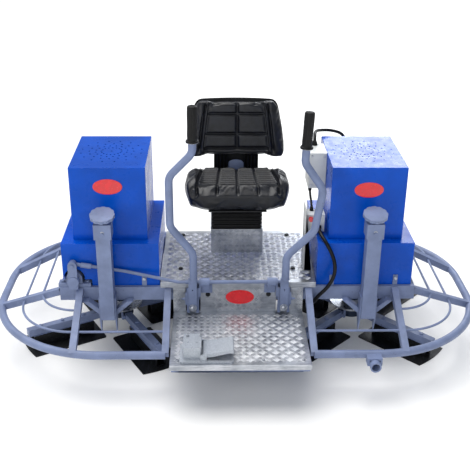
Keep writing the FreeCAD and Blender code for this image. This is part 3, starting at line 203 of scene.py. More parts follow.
def shaded(tree, shader, factor, dark, light, low=0.35, high=0.65):
    """Base colour that runs between two shades with a pattern."""
    ramp = add_node(tree, "ShaderNodeValToRGB", {"Fac": factor})
    ramp.color_ramp.elements[0].position = low
    ramp.color_ramp.elements[0].color = (*dark[:3], 1.0)
    ramp.color_ramp.elements[1].position = high
    ramp.color_ramp.elements[1].color = (*light[:3], 1.0)
    tree.links.new(ramp.outputs["Color"], shader.inputs["Base Color"])
    return ramp.outputs["Color"]


def glossed(tree, shader, factor, low, high):
    """Roughness that runs between two values with a pattern."""
    spread = add_node(tree, "ShaderNodeMapRange", {"Value": factor, "From Min": 0.3,
                                                   "From Max": 0.7, "To Min": low, "To Max": high})
    tree.links.new(spread.outputs["Result"], shader.inputs["Roughness"])


def embossed(tree, shader, height, depth_mm, strength):
    """Relief of a real depth."""
    bump = add_node(tree, "ShaderNodeBump", {"Height": height, "Distance": depth_mm / 1000.0,
                                             "Strength": strength})
    tree.links.new(bump.outputs["Normal"], shader.inputs["Normal"])


def tone(colour, factor):
    """The same colour, darker or lighter."""
    return tuple(min(1.0, c * factor) for c in colour[:3])


def patterned(name, colour, roughness, shade, gloss, relief, **sockets):
    """Finish whose shade, gloss and relief follow patches of their own.

    Each gives its size in mm and its detail, then what shaded, glossed or embossed takes.
    """
    material, tree, shader, place = finish_of(name, colour, roughness, **sockets)
    for shape, pattern in ((shaded, shade), (glossed, gloss), (embossed, relief)):
        shape(tree, shader, patches(tree, place, *pattern[:2]), *pattern[2:])
    return material


# ---- materials ----
def sprayed_enamel(name, colour, roughness, peel_mm=3.0, peel_depth=0.03):
    """Sprayed gloss enamel on steel: slight orange peel, and thin and thick coats."""
    return patterned(name, colour, roughness,
                     shade=(160.0, 3.0, tone(colour, 0.86), tone(colour, 1.12)),
                     gloss=(45.0, 3.0, roughness - 0.08, roughness + 0.10),
                     relief=(peel_mm, 1.0, peel_depth, 0.6),
                     Coat_Weight=0.12, Coat_Roughness=0.16, Specular_IOR_Level=0.12)


def brushed_frame_enamel():
    """Grey-blue enamel brushed over welded steel: dull, with runs, grime and a few chips."""
    colour = settings("paint").frame
    material, tree, shader, place = finish_of("brushed_enamel_on_steel", colour, 0.46,
                                              Specular_IOR_Level=0.4)
    cloud = patches(tree, place, 70.0, 6.0)
    shade = shaded(tree, shader, cloud, tone(colour, 0.80), tone(colour, 1.14), 0.3, 0.7)
    chips = add_node(tree, "ShaderNodeMapRange", {"Value": patches(tree, place, 9.0, 5.0),
                                                  "From Min": 0.69, "From Max": 0.72})
    mixed = add_node(tree, "ShaderNodeMix", {"Factor": chips.outputs["Result"], "A": shade,
                                             "B": linear("#4A4E58")}, data_type="RGBA")
    tree.links.new(mixed.outputs["Result"], shader.inputs["Base Color"])
    glossed(tree, shader, patches(tree, place, 25.0), 0.36, 0.58)
    embossed(tree, shader, patches(tree, place, 5.0, 4.0), 0.12, 0.6)
    return material


def rolled_aluminium(name, dull, bright, low, high):
    """Rolled aluminium with mill streaks and dull handling marks."""
    material, tree, shader, place = finish_of(name, linear(bright), low, Metallic=1.0)
    stretch = add_node(tree, "ShaderNodeMapping", {"Vector": place, "Scale": (0.06, 1.0, 1.0)})
    streaks = patches(tree, stretch.outputs["Vector"], 3.0, 5.0)
    marks = patches(tree, place, 60.0, 6.0)
    blend = add_node(tree, "ShaderNodeMath", {0: streaks, 1: marks}, operation="ADD")
    half = add_node(tree, "ShaderNodeMath", {0: blend.outputs[0], 1: 0.5}, operation="MULTIPLY")
    shaded(tree, shader, half.outputs[0], linear(dull), linear(bright), 0.36, 0.62)
    glossed(tree, shader, half.outputs[0], low, high)
    embossed(tree, shader, streaks, 0.04, 0.4)
    return material


def moulded_vinyl():
    """Black vinyl skin on moulded foam: fine leather grain, satin where it is stretched."""
    material, tree, shader, place = finish_of("moulded_black_vinyl", linear("#0D0F14"), 0.34,
                                              Specular_IOR_Level=0.42)
    cells = add_node(tree, "ShaderNodeTexVoronoi", {"Vector": place, "Scale": 1000.0 / 2.4},
                     feature="DISTANCE_TO_EDGE")
    # The bluish tint of these black shades is painted reflection of the pale blue sky.
    shaded(tree, shader, patches(tree, place, 30.0, 5.0), linear("#0A0B0F"), linear("#171A22"))
    glossed(tree, shader, patches(tree, place, 18.0, 4.0), 0.28, 0.42)
    grain = add_node(tree, "ShaderNodeMapRange", {"Value": cells.outputs["Distance"],
                                                  "From Max": 0.18})
    embossed(tree, shader, grain.outputs["Result"], 0.16, 0.55)
    return material


def hammered_enamel():
    """Grey hammer-finish enamel on an aluminium casting: shallow round dimples."""
    material, tree, shader, place = finish_of("hammered_enamel_on_casting", linear("#9EA5AE"),
                                              0.38, Metallic=0.35, Coat_Weight=0.25,
                                              Coat_Roughness=0.25)
    dimples = add_node(tree, "ShaderNodeTexVoronoi", {"Vector": place, "Scale": 1000.0 / 3.5},
                       feature="SMOOTH_F1")
    shaded(tree, shader, dimples.outputs["Distance"], linear("#8C949E"), linear("#B4BAC2"),
           0.1, 0.6)
    glossed(tree, shader, patches(tree, place, 20.0), 0.30, 0.48)
    embossed(tree, shader, dimples.outputs["Distance"], 0.35, 0.5)
    return material


def moulded_rubber(name, code, roughness):
    """Black rubber or soft PVC: matt, dusty, very fine texture."""
    colour = linear(code)
    return patterned(name, colour, roughness,
                     shade=(14.0, 5.0, tone(colour, 0.8), tone(colour, 1.6)),
                     gloss=(6.0, 3.0, roughness - 0.08, roughness + 0.1),
                     relief=(1.6, 3.0, 0.08, 0.5), Specular_IOR_Level=0.25)


def blade_steel():
    """Blue-black tempered trowel blade: oxide skin, scraped brighter in places."""
    material, tree, shader, place = finish_of("tempered_blade_steel", linear("#15171B"), 0.44,
                                              Metallic=0.55)
    stretch = add_node(tree, "ShaderNodeMapping", {"Vector": place, "Scale": (1.0, 0.2, 1.0)})
    scrapes = patches(tree, stretch.outputs["Vector"], 6.0, 6.0)
    shaded(tree, shader, scrapes, linear("#101216"), linear("#3A3E46"), 0.52, 0.78)
    glossed(tree, shader, scrapes, 0.34, 0.56)
    embossed(tree, shader, scrapes, 0.06, 0.5)
    return material


def satin_black():
    """Satin black enamel on pressed steel: even, dulled in patches by handling."""
    return patterned("satin_black_enamel", linear("#101113"), 0.4,
                     shade=(40.0, 5.0, linear("#0B0C0D"), linear("#1C1E21")),
                     gloss=(12.0, 3.0, 0.32, 0.52), relief=(2.0, 3.0, 0.03, 0.4),
                     Specular_IOR_Level=0.3)


def bright_zinc():
    """Turned and zinc-plated steel: bright, with a faint grey bloom."""
    return patterned("zinc_plated_steel", linear("#B9BDC4"), 0.3,
                     shade=(8.0, 4.0, linear("#969BA4"), linear("#CDD0D6")),
                     gloss=(8.0, 4.0, 0.22, 0.42), relief=(0.9, 2.0, 0.02, 0.4), Metallic=1.0)


def gloss_plastic(name, code):
    """Moulded gloss plastic or vitreous badge enamel: smooth, with faint flow marks."""
    colour = linear(code)
    return patterned(name, colour, 0.22, shade=(25.0, 3.0, tone(colour, 0.85), colour),
                     gloss=(7.0, 3.0, 0.16, 0.3), relief=(4.0, 3.0, 0.02, 0.3),
                     Coat_Weight=0.5, Coat_Roughness=0.08)


FINISHES = {}


class TROWEL_OT_finishes(bpy.types.Operator):
    """Every material of the machine"""
    bl_idname = "trowel.finishes"
    bl_label = "Finishes"

    def execute(self, context):
        """Make each one and keep it under its record slot's name or a piece's."""
        paint = settings("paint")
        FINISHES.update({
            "hood_paint": sprayed_enamel("sprayed_blue_enamel", paint.hood, 0.30),
            "frame_paint": brushed_frame_enamel(),
            "gearbox_paint": sprayed_enamel("gearbox_enamel_on_iron", paint.gearbox, 0.42, 4.0,
                                            0.12),
            "motor_paint": sprayed_enamel("motor_enamel_on_iron", linear("#4C545E"), 0.4),
            "grey_enamel": sprayed_enamel("powder_coat_on_sheet", paint.enclosure, 0.45, 2.0,
                                          0.06),
            "checker_plate": rolled_aluminium("rolled_aluminium_plate", "#8C9199", "#C6C9CE",
                                              0.26, 0.46),
            # The bars' near-white colour is painted highlight: it stands in for the light catching
            # their tops.
            "tread_bars": rolled_aluminium("aluminium_tread_bars_painted_highlight", "#E2E4E8", "#FAFAFB",
                                           0.26, 0.38),
            "black_steel": satin_black(),
            "steel": bright_zinc(),
            "cast_enamel": hammered_enamel(),
            "rubber": moulded_rubber("moulded_black_rubber", "#0B0B0C", 0.5),
            "pvc": moulded_rubber("pvc_conduit", "#08080A", 0.34),
            "seat_vinyl": moulded_vinyl(),
            "red_plastic": gloss_plastic("red_moulded_plastic", "#D0101E"),
            "blade": blade_steel(),
            "badge": gloss_plastic("red_vitreous_enamel", "#E8101C"),
            # The foam finish is painted shade: a near-black sheet seen through the hood vents.
            "foam": moulded_rubber("vent_painted_shade", "#0A0D0E", 0.9),
        })
        return {"FINISHED"}


# ---- mesh helpers ----
SMOOTH = math.radians(34)  # folds below this angle shade smooth


def put(name, data):
    """New object in the scene."""
    obj = bpy.data.objects.new(name, data)
    bpy.context.scene.collection.objects.link(obj)
    return obj


def add_piece(name, bm, body, slot, finish=None, replaces=(), second=None):
    """Turn a bmesh into a named piece that rides on a body; small folds shade smooth."""
    for face in bm.faces:
        face.smooth = True
    for edge in bm.edges:
        edge.smooth = not edge.is_manifold or edge.calc_face_angle(0) < SMOOTH
    mesh = bpy.data.meshes.new(name)
    bm.to_mesh(mesh)
    bm.free()
    obj = put(name, mesh)
    mesh.materials.append(FINISHES[finish or slot])
    if second:
        mesh.materials.append(FINISHES[second])
    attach(obj, body)
    if replaces:
        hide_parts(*replaces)
    return obj


def weighted(obj):
    """Keep large flat faces flat beside rounded edges."""
    obj.modifiers.new("flat_faces", "WEIGHTED_NORMAL").keep_sharp = True


def add_box(bm, low, high):
    """Block between two corners."""
    low, high = Vector(low), Vector(high)
    size = high - low
    matrix = Matrix.Translation((low + high) / 2) @ Matrix.Diagonal((*size, 1.0))
    bmesh.ops.create_cube(bm, size=1.0, matrix=matrix)


def facing(at, direction):
    """Place that turns +Z to a direction."""
    turn = Vector(direction).normalized().to_track_quat("Z", "Y").to_matrix().to_4x4()
    return Matrix.Translation(at) @ turn


def add_rod(bm, start, end, radius, segments=24, far_radius=None):
    """Round bar from one point to another."""
    start, end = Vector(start), Vector(end)
    run = end - start
    bmesh.ops.create_cone(bm, cap_ends=True, segments=segments, radius1=radius,
                          radius2=far_radius or radius, depth=run.length,
                          matrix=facing((start + end) / 2, run))


def lift(bm, faces, move):
    """Extrude faces into a closed shape that points outwards."""
    made = bmesh.ops.extrude_face_region(bm, geom=faces)["geom"]
    bmesh.ops.translate(bm, vec=move,
                        verts=[v for v in made if isinstance(v, bmesh.types.BMVert)])
    bmesh.ops.recalc_face_normals(bm, faces=bm.faces)


def soften(bm, width, segments=2, shortest=0.0):
    """Round the sharp edges that are longer than the shortest."""
    edges = [e for e in bm.edges if e.is_manifold and e.calc_face_angle(0) > SMOOTH
             and e.calc_length() > shortest]
    bmesh.ops.bevel(bm, geom=edges, offset=width, offset_type="OFFSET", affect="EDGES",
                    segments=segments, profile=0.5, material=-1, clamp_overlap=True)


def node_copy(name):
    """A CAD node's shape with its loose triangles joined into clean faces."""
    bm = bmesh.new()
    bm.from_mesh(NODES[name].data)
    bmesh.ops.remove_doubles(bm, verts=bm.verts, dist=1e-6)
    bmesh.ops.dissolve_limit(bm, angle_limit=math.radians(1), verts=bm.verts, edges=bm.edges)
    return bm


def body_of(name):
    """The body that a CAD node belongs to."""
    return NODES[name]["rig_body"]


def slot_of(name):
    """The record's material slot of a CAD node."""
    return next(row["material_slot"] for row in frame["record"]["subparts"]
                if row["node"] == name)


def add_head(bm, at, direction, size, sides=6):
    """Bolt head on its washer, its rim eased."""
    axis = Vector(direction).normalized()
    at = Vector(at)
    foot = at + axis * size * 0.16
    add_rod(bm, at, foot, size, 20)
    add_rod(bm, foot, foot + axis * size * 0.45, size * 0.84, sides)
    add_rod(bm, foot + axis * size * 0.45, foot + axis * size * 0.58, size * 0.84, sides,
            size * 0.66)


# ---- fabricated steel ----
def dress(name, width, shortest):
    """Stand-in for a CAD node with its long sharp edges rounded."""
    bm = node_copy(name)
    soften(bm, width, shortest=shortest)
    weighted(add_piece(name + "_body", bm, body_of(name), slot_of(name), replaces=(name,)))


class TROWEL_OT_frame(bpy.types.Operator):
    """Finish every CAD node and round the edges of the fabricated ones"""
    bl_idname = "trowel.frame"
    bl_label = "Frame and castings"

    def execute(self, context):
        """Assign each node's finish, then dress the plain-edged ones."""
        edges = settings("edges")
        for name, obj in NODES.items():
            obj.material_slots[0].material = FINISHES[slot_of(name)]
        legs = [side + part for part in ("_leg_post", "_leg_foot") for side in SIDES]
        for name in ("main_frame", *legs):
            dress(name, edges.section, 0.012)
        for name in ("floor_plate", "riser_plate", "seat_deck", "pedestal", "cover_lugs",
                     "left_lever_cradle", "right_lever_cradle", "bearing_block", "crank",
                     "foot_switch_case", "foot_treadle", "control_box", "switch_box",
                     "pivot_brackets", "tow_socket", "seat_pan"):
            dress(name, edges.casting, 0.006)
        return {"FINISHED"}


class TROWEL_OT_hoods(bpy.types.Operator):
    """Hoods and lower covers with folded edges, and foam under the vents"""
    bl_idname = "trowel.hoods"
    bl_label = "Hoods"

    def execute(self, context):
        """Round the sheet metal's bends, leave the vent holes crisp, and line the hoods."""
        for side in SIDES:
            for part in ("_hood", "_lower_cover"):
                dress(side + part, settings("edges").hood, 0.03)
            # Near-black sheet just under the vented top: painted shade seen through the vent
            # holes.
            low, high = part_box(side + "_hood")
            inset, under, thick = 0.012, 0.005, 0.009
            bm = bmesh.new()
            add_box(bm, (low.x + inset, low.y + inset, high.z - under - thick),
                    (high.x - inset, high.y - inset, high.z - under))
            add_piece(side + "_vent_shade_sheet", bm, "frame", "rubber", "foam")
        return {"FINISHED"}


class TROWEL_OT_rotors(bpy.types.Operator):
    """Trowel arms and their dark blades"""
    bl_idname = "trowel.rotors"
    bl_label = "Rotors"

    def execute(self, context):
        """Paint the arms and leave the blades and their brackets in dark steel."""
        blade_top = 0.0575
        for name in sorted(n for n in NODES if "_trowel_arm_" in n):
            bm = node_copy(name)
            soften(bm, 0.0009, 1, shortest=0.012)
            for face in bm.faces:
                face.material_index = int(face.calc_center_median().z < blade_top)
            weighted(add_piece(name + "_body", bm, body_of(name), slot_of(name),
                               replaces=(name,), second="blade"))
        return {"FINISHED"}


# ---- tread plate ----
def tread_field(name, low, high, across, up, normal):
    """Raised bars over a rectangle: one tile of four groups, repeated both ways."""
    sizes = settings("tread")
    tile = 2 * sizes.pitch
    low, high, across, up, normal = (Vector(v) for v in (low, high, across, up, normal))
    span = high - low
    columns = 2 if span.dot(across) >= tile else 1
    steps = (columns * sizes.pitch, tile)
    counts = [int(span.dot(axis) / step) for axis, step in zip((across, up), steps)]
    margin = [(span.dot(axis) - count * step) / 2
              for axis, count, step in zip((across, up), counts, steps)]
    corner = low + across * margin[0] + up * margin[1]
    basis = Matrix((across, up, normal)).transposed().to_4x4()
    bm = bmesh.new()
    group_share, bar_share = 0.98, 0.94
    spacing = sizes.pitch / sizes.bars * group_share
    for group in range(2 * columns):
        column, row = group % columns, group // columns
        turn = Matrix.Rotation(math.radians(45 if column == row else -45), 4, "Z")
        middle = Matrix.Translation(((column + 0.5) * sizes.pitch, (row + 0.5) * sizes.pitch, 0))
        for index in range(sizes.bars):
            away = (index - (sizes.bars - 1) / 2) * spacing * bar_share
            shift = Matrix.Translation((0, away, 0))
            shape = Matrix.Diagonal((sizes.bar_length, sizes.bar_width, 1, 1))
            bmesh.ops.create_circle(bm, cap_ends=True, segments=10, radius=0.5,
                                    matrix=middle @ turn @ shift @ shape)
    bmesh.ops.inset_individual(bm, faces=bm.faces[:], thickness=sizes.bar_width * 0.3,
                               depth=sizes.rise)
    bmesh.ops.transform(bm, matrix=Matrix.Translation(corner) @ basis, verts=bm.verts)
    obj = add_piece(name, bm, "frame", "checker_plate", "tread_bars")
    for axis, count, step in zip((across, up), counts, steps):
        repeat = obj.modifiers.new("repeat", "ARRAY")
        repeat.use_relative_offset = False
        repeat.use_constant_offset = True
        repeat.constant_offset_displace = axis * step
        repeat.count = count


class TROWEL_OT_tread(bpy.types.Operator):
    """Raised bars of the floor, riser, deck and pedestal"""
    bl_idname = "trowel.tread"
    bl_label = "Tread plate"

    def execute(self, context):
        """Cover each plate with whole tiles, leaving out the lever slots."""
        x, y, z = Vector((1, 0, 0)), Vector((0, 1, 0)), Vector((0, 0, 1))
        low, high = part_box("floor_plate")
        tread_field("floor_bars", (low.x, low.y, high.z), high, x, y, z)
        low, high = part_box("seat_deck")
        tread_field("deck_bars", (low.x, low.y, high.z), high, x, y, z)
        low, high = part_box("riser_plate")
        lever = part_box("left_lever_cradle")
        slot_out, slot_in = lever[0].x - 0.002, lever[1].x + 0.004
        strips = ((low.x, slot_out), (slot_in, -slot_in), (-slot_out, high.x))
        for index, (start, end) in enumerate(strips):
            tread_field("riser_bars_" + str(index), (start, low.y, low.z + 0.004),
                        (end, low.y, high.z), x, z, -y)
        low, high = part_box("pedestal")
        for wall, start, end, across, normal in (
                ("front", (low.x, low.y), (high.x, low.y), x, -y),
                ("back", (high.x, high.y), (low.x, high.y), -x, y),
                ("left", (low.x, high.y), (low.x, low.y), -y, -x),
                ("right", (high.x, low.y), (high.x, high.y), y, x)):
            tread_field("pedestal_" + wall + "_bars", (*start, low.z), (*end, high.z), across,
                        z, normal)
        return {"FINISHED"}


# ---- badges and fasteners ----
def badge(name, centre, direction):
    """Plain oval plate with a slightly raised rim."""
    sizes = settings("badge")
    bm = bmesh.new()
    shape = Matrix.Diagonal((sizes.width, sizes.height, 1, 1))
    bmesh.ops.create_circle(bm, cap_ends=True, segments=64, radius=0.5,
                            matrix=facing(centre, direction) @ shape)
    lift(bm, bm.faces[:], Vector(direction) * 0.0016)
    soften(bm, 0.0006)
    face = max(bm.faces, key=lambda f: f.calc_area() * f.normal.dot(Vector(direction)))
    bmesh.ops.inset_region(bm, faces=[face], thickness=0.003, depth=-0.0005)
    add_piece(name, bm, "frame", "red_plastic", "badge")


class TROWEL_OT_badges(bpy.types.Operator):
    """Plain red ovals on the hoods and the riser"""
    bl_idname = "trowel.badges"
    bl_label = "Badges"

    def execute(self, context):
        """Stand each badge on its sheet."""
        outward = (0, -1, 0)
        for side, drop in (("left", 0.083), ("right", 0.098)):
            low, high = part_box(side + "_hood")
            across = low.x + (high.x - low.x) * 0.5
            badge(side + "_badge", (across, low.y - 0.0002, high.z - drop), outward)
        low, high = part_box("riser_plate")
        badge("riser_badge", (0.007, low.y - 0.0014, (low.z + high.z) / 2 + 0.016), outward)
        return {"FINISHED"}


class TROWEL_OT_fasteners(bpy.types.Operator):
    """Screws of the plates and electric boxes, deck bolts and the levers' hub nuts"""
    bl_idname = "trowel.fasteners"
    bl_label = "Fasteners"

    def execute(self, context):
        """Stand each head on the face of the part that it holds."""
        up, front = (0, 0, 1), (0, -1, 0)
        bm = bmesh.new()
        low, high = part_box("floor_plate")
        for x in (low.x + 0.03, -0.09, 0.09, high.x - 0.03):
            for y in (low.y + 0.035, high.y - 0.06):
                add_head(bm, (x, y, high.z), up, 0.0075, 16)
        dark = bmesh.new()
        low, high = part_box("seat_deck")
        for x in (-0.25, 0.243):
            for y in (low.y + 0.124, high.y - 0.05):
                add_head(dark, (x, y, high.z), up, 0.011)
        low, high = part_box("riser_plate")
        for x in (-0.13, 0.13):
            add_head(dark, (x, low.y, high.z - 0.032), front, 0.0105)
        add_piece("deck_bolts", dark, "frame", "black_steel")
        low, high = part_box("cover_lugs")
        widest = 0.045
        edges = sorted({round(v.co.x, 4) for v in NODES["cover_lugs"].data.vertices
                        if v.co.y < low.y + 0.001})
        for x in [x for x in edges if all(not 0 < x - other < widest for other in edges)]:
            width = max(other - x for other in edges if 0 <= other - x < widest)
            add_head(bm, (x + width / 2, low.y, high.z - 0.013), front, 0.0075)
        for side in SIDES:
            low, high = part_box(side + "_leg_post")
            add_head(bm, ((low.x + high.x) / 2, low.y, high.z - 0.028), front, 0.010)
        add_piece("plate_screws", bm, "frame", "steel")
        bm = bmesh.new()
        low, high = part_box("control_box")
        for x in (low.x + 0.012, high.x - 0.012):
            for z in (low.z + 0.014, high.z - 0.014):
                add_head(bm, (x, low.y, z), front, 0.0055, 16)
        low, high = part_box("switch_box")
        for z in (low.z + 0.19, high.z - 0.03):
            add_head(bm, (high.x - 0.012, low.y + 0.016, z), front, 0.0045, 16)
        low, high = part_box("foot_switch_case")
        for x in (low.x + 0.030, low.x + 0.082):
            add_head(bm, (x, high.y - 0.022, high.z), up, 0.006, 16)
        add_piece("box_screws", bm, "frame", "steel")
        # The nuts and rings are bright steel though the hubs are painted like the levers: painted
        # highlight that sets each hub apart as its shading would.
        hub_x, hub_z, stand_off = 0.194, 0.257, 0.010
        for side, sign in zip(SIDES, (-1, 1)):
            bm = bmesh.new()
            hub = Vector((sign * hub_x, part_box(side + "_lever_cradle")[0].y - stand_off, hub_z))
            add_rod(bm, hub, hub + Vector((0, -0.002, 0)), 0.0165, 32)
            add_head(bm, hub + Vector((0, -0.004, 0)), front, 0.0115)
            add_piece(side + "_hub_nut", bm, body_of(side + "_lever"), "steel")
        return {"FINISHED"}


# ---- seat ----
def baked(obj):
    """The mesh that an object's modifiers give."""
    graph = bpy.context.evaluated_depsgraph_get()
    return bpy.data.meshes.new_from_object(obj.evaluated_get(graph))


def take_mesh(obj, kind, **choices):
    """Run one modifier on an object and keep its result."""
    modifier = obj.modifiers.new(kind.lower(), kind)
    for name, value in choices.items():
        setattr(modifier, name, value)
    mesh = baked(obj)
    obj.modifiers.clear()
    obj.data = mesh


def points_of(mesh):
    """A mesh's points as an array."""
    points = np.zeros(len(mesh.vertices) * 3)
    mesh.vertices.foreach_get("co", points)
    return points.reshape(-1, 3)


def inflate(obj):
    """Blow the padding up as cloth, keep it within reach, and leave no modifier behind."""
    sizes = settings("seat")
    start = points_of(obj.data)
    cloth = obj.modifiers.new("cloth", "CLOTH")
    cloth.settings.use_pressure = True
    cloth.settings.uniform_pressure_force = sizes.pressure
    cloth.settings.mass = 0.3
    cloth.settings.tension_stiffness = cloth.settings.compression_stiffness = 20.0
    cloth.settings.bending_stiffness = 1.5
    cloth.settings.effector_weights.gravity = 0.0
    last = 20
    cloth.point_cache.frame_start = 1
    cloth.point_cache.frame_end = last
    scene = bpy.context.scene
    for step in range(1, last + 1):
        scene.frame_set(step)
    mesh = baked(obj)
    obj.modifiers.clear()
    scene.frame_set(1)
    moved = points_of(mesh) - start
    moved -= moved.mean(axis=0)
    travel = np.linalg.norm(moved, axis=1)[:, None]
    capped = start + moved * np.minimum(1.0, sizes.reach / np.maximum(travel, 1e-9))
    mesh.vertices.foreach_set("co", capped.ravel())
    mesh.update()
    obj.data = mesh


def ramp(values, low, high):
    """Smooth step from 0 at low to 1 at high, of a number or an array."""
    share = np.clip((values - low) / (high - low), 0, 1)
    return share * share * (3 - 2 * share)


def line(values, at, width):
    """Rounded groove profile: 1 on the line, 0 beside it."""
    return np.exp(-((values - at) / width) ** 2)


def padded_piece(name, bm, node, carve):
    """Inflated, subdivided and grooved padding that stands for a plain CAD cushion."""
    obj = add_piece(name, bm, body_of(node), "seat_vinyl", replaces=(node,))
    take_mesh(obj, "REMESH", mode="VOXEL", voxel_size=settings("seat").voxel,
              use_smooth_shade=True)
    take_mesh(obj, "SMOOTH", factor=0.5, iterations=4)
    inflate(obj)
    take_mesh(obj, "SUBSURF", levels=1, render_levels=1)
    points = points_of(obj.data)
    normals = np.zeros(len(points) * 3)
    obj.data.vertex_normals.foreach_get("vector", normals)
    carved = carve(points, normals.reshape(-1, 3))
    obj.data.vertices.foreach_set("co", carved.ravel())
    for polygon in obj.data.polygons:
        polygon.use_smooth = True
    obj.data.update()
    obj.data.materials.clear()
    obj.data.materials.append(FINISHES["seat_vinyl"])


def grid_block(low, high, cuts):
    """Block between two corners with a grid on each face."""
    bm = bmesh.new()
    add_box(bm, low, high)
    bmesh.ops.subdivide_edges(bm, edges=bm.edges[:], cuts=cuts, use_grid_fill=True)
    return bm


def seat_cushion():
    """Cushion: raised wings at the sides, rolled front, tapered underneath."""
    low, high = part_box("seat_cushion")
    size = high - low
    margin = Vector((0.001, 0.001, 0.001))
    bm = grid_block(low + margin, high - margin, 23)
    for vert in bm.verts:
        u = 2 * (vert.co.x - low.x) / size.x - 1
        v = (vert.co.y - low.y) / size.y
        w = (vert.co.z - low.z) / size.z
        wing = ramp(abs(u), 0.66, 0.86) * (1 - 0.45 * ramp(abs(u), 0.90, 1.0))
        rise = 0.020 * wing * ramp(v, -0.15, 0.35) * (1 - 0.75 * ramp(v, 0.72, 1.0))
        front = max(0.0, 0.20 - v) / 0.20
        top = high.z - 0.014 - 0.012 * v + rise - 0.026 * front ** 2
        bottom = low.z + 0.004 + 0.022 * front
        vert.co.z = bottom + (top - bottom) * w
        vert.co.x *= 1.02 - 0.07 * (1 - w) ** 1.6 - 0.04 * front ** 2
        corner = ramp(abs(u), 0.70, 1.0)
        vert.co.y += corner * (0.030 * ramp(1 - v, 0.6, 1.0) - 0.050 * ramp(v, 0.6, 1.0))
        vert.co.y += 0.010 * (1 - w) * front
    sizes = settings("seat")

    def carve(points, normals):
        """Column grooves, cross ribs, the line behind them and the notch at the left."""
        x, y = points[:, 0], points[:, 1]
        v = (y - low.y) / size.y
        upward = ramp(normals[:, 2], 0.15, 0.6)
        half = 0.182 - 0.034 * v
        cut = np.zeros(len(points))
        for column in range(-2, 3):
            side = sizes.groove * (1.25 if abs(column) == 2 else 0.9)
            along = ramp(v, 0.03, 0.10) * (1 - ramp(v, 0.90, 0.97))
            cut = np.maximum(cut, side * along * line(x, column * half / 2, 0.0052))
        inside = 1 - ramp(np.abs(x), half - 0.010, half - 0.002)
        zone = ramp(v, 0.17, 0.20) * (1 - ramp(v, 0.79, 0.83))
        ribs = (1 - np.abs(np.sin(math.pi * y / sizes.rib_pitch))) ** 0.7
        cut = np.maximum(cut, sizes.rib_depth * inside * zone * ribs)
        cut = np.maximum(cut, sizes.groove * 0.8 * inside * line(v, 0.86, 0.018))
        notch = line(x, -half, 0.0065) * line(v, 0.085, 0.045)
        cut = np.maximum(cut, sizes.groove * 1.5 * notch)
        return points - normals * (cut * upward)[:, None]

    padded_piece("seat_cushion_pad", bm, "seat_cushion", carve)


def back_place():
    """Place of the leaning backrest: the middle of its foot, turned 8 degrees."""
    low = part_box("backrest")[0]
    foot = Vector((0, low.y + 0.0005, low.z + 0.0132))
    return Matrix.Translation(foot) @ Matrix.Rotation(-math.radians(8), 4, "X")


def back_half(share):
    """Half the backrest's width at a share of its height."""
    half = 0.2262 - 0.004 * ramp(share, 0.0, 0.45) - 0.036 * share ** 1.8
    return half - 0.012 * ramp(share, 0.90, 1.0) - 0.010 * (1 - ramp(share, 0.0, 0.10))


def back_pad():
    """Backrest pad: tapered upwards, bolsters at the sides, thick lower edge."""
    tall, thick = 0.268, 0.072
    bm = grid_block((-0.5, 0, 0), (0.5, 1, 1), 19)
    for vert in bm.verts:
        u, deep, t = vert.co.x * 2, vert.co.y, vert.co.z
        half = back_half(t)
        bolster = ramp(abs(u), 0.56, 0.78) * (1 - 0.55 * ramp(abs(u), 0.86, 1.0))
        forward = 0.006 + 0.020 - 0.018 * bolster - 0.006 * (1 - t)
        vert.co.x = u * half
        vert.co.y = forward + (thick - forward) * deep
        vert.co.z = -0.006 + (tall - 0.006) * t - 0.006 * u * u * t
    turn = back_place()
    bmesh.ops.transform(bm, matrix=turn, verts=bm.verts)
    sizes = settings("seat")
    back = np.array(turn.inverted())

    def carve(points, normals):
        """Six panels in two columns, edged by deep lines, and the bolster lines."""
        flat = points @ back[:3, :3].T + back[:3, 3]
        x, z = flat[:, 0], flat[:, 2]
        toward = ramp(-normals[:, 1], 0.2, 0.7)
        panel = 0.152 - 0.036 * z / tall
        inside = 1 - ramp(np.abs(x), panel - 0.004, panel + 0.004)
        height = ramp(z, 0.028, 0.045) * (1 - ramp(z, 0.240, 0.250))
        cut = sizes.groove * 0.95 * line(x, 0.004, 0.006) * height
        for at in (0.034, 0.100, 0.192):
            cut = np.maximum(cut, sizes.groove * inside * line(z, at, 0.0065))
        edge = line(np.abs(x), panel, 0.0055) * height
        cut = np.maximum(cut, sizes.groove * 0.7 * edge)
        outer = line(np.abs(x), panel + 0.021, 0.008) * ramp(z, 0.0, 0.04)
        cut = np.maximum(cut, sizes.groove * 1.35 * outer * (1 - ramp(z, 0.235, 0.255)))
        pillow = 0.006 * inside * np.abs(np.sin(math.pi * x / panel))
        return points - normals * ((cut - pillow) * toward)[:, None]

    padded_piece("backrest_pad", bm, "backrest", carve)


def back_shell():
    """Moulded shell behind the backrest pad."""
    bm = grid_block((-0.5, 0, 0), (0.5, 1, 1), 11)
    for vert in bm.verts:
        u, deep, t = vert.co.x * 2, vert.co.y, vert.co.z
        half = back_half(t) + 0.001
        crown = 1 - max(abs(u), abs(2 * t - 1)) ** 6
        vert.co.x = u * half * (1 - 0.05 * deep)
        vert.co.y = 0.066 + 0.026 * deep * crown
        vert.co.z = 0.004 + 0.256 * t - 0.006 * u * u * t
    bmesh.ops.transform(bm, matrix=back_place(), verts=bm.verts)
    obj = add_piece("backrest_shell", bm, body_of("backrest"), "black_steel")
    round_off = obj.modifiers.new("round_off", "SUBSURF")
    round_off.levels = round_off.render_levels = 1


def pleats(bm, start, end, low, high, front):
    """Concertina of upright folds between two ends, as a closed wall."""
    depth, folds, wall = 0.012, 4, 0.030
    step = (end - start) / (2 * folds)
    outline = [(start + step * i, front + depth * (i % 2)) for i in range(2 * folds + 1)]
    rear = front + depth + wall
    corners = outline + [(end, rear), (start, rear)]
    face = bm.faces.new([bm.verts.new((x, y, low)) for x, y in corners])
    lift(bm, [face], (0, 0, high - low))


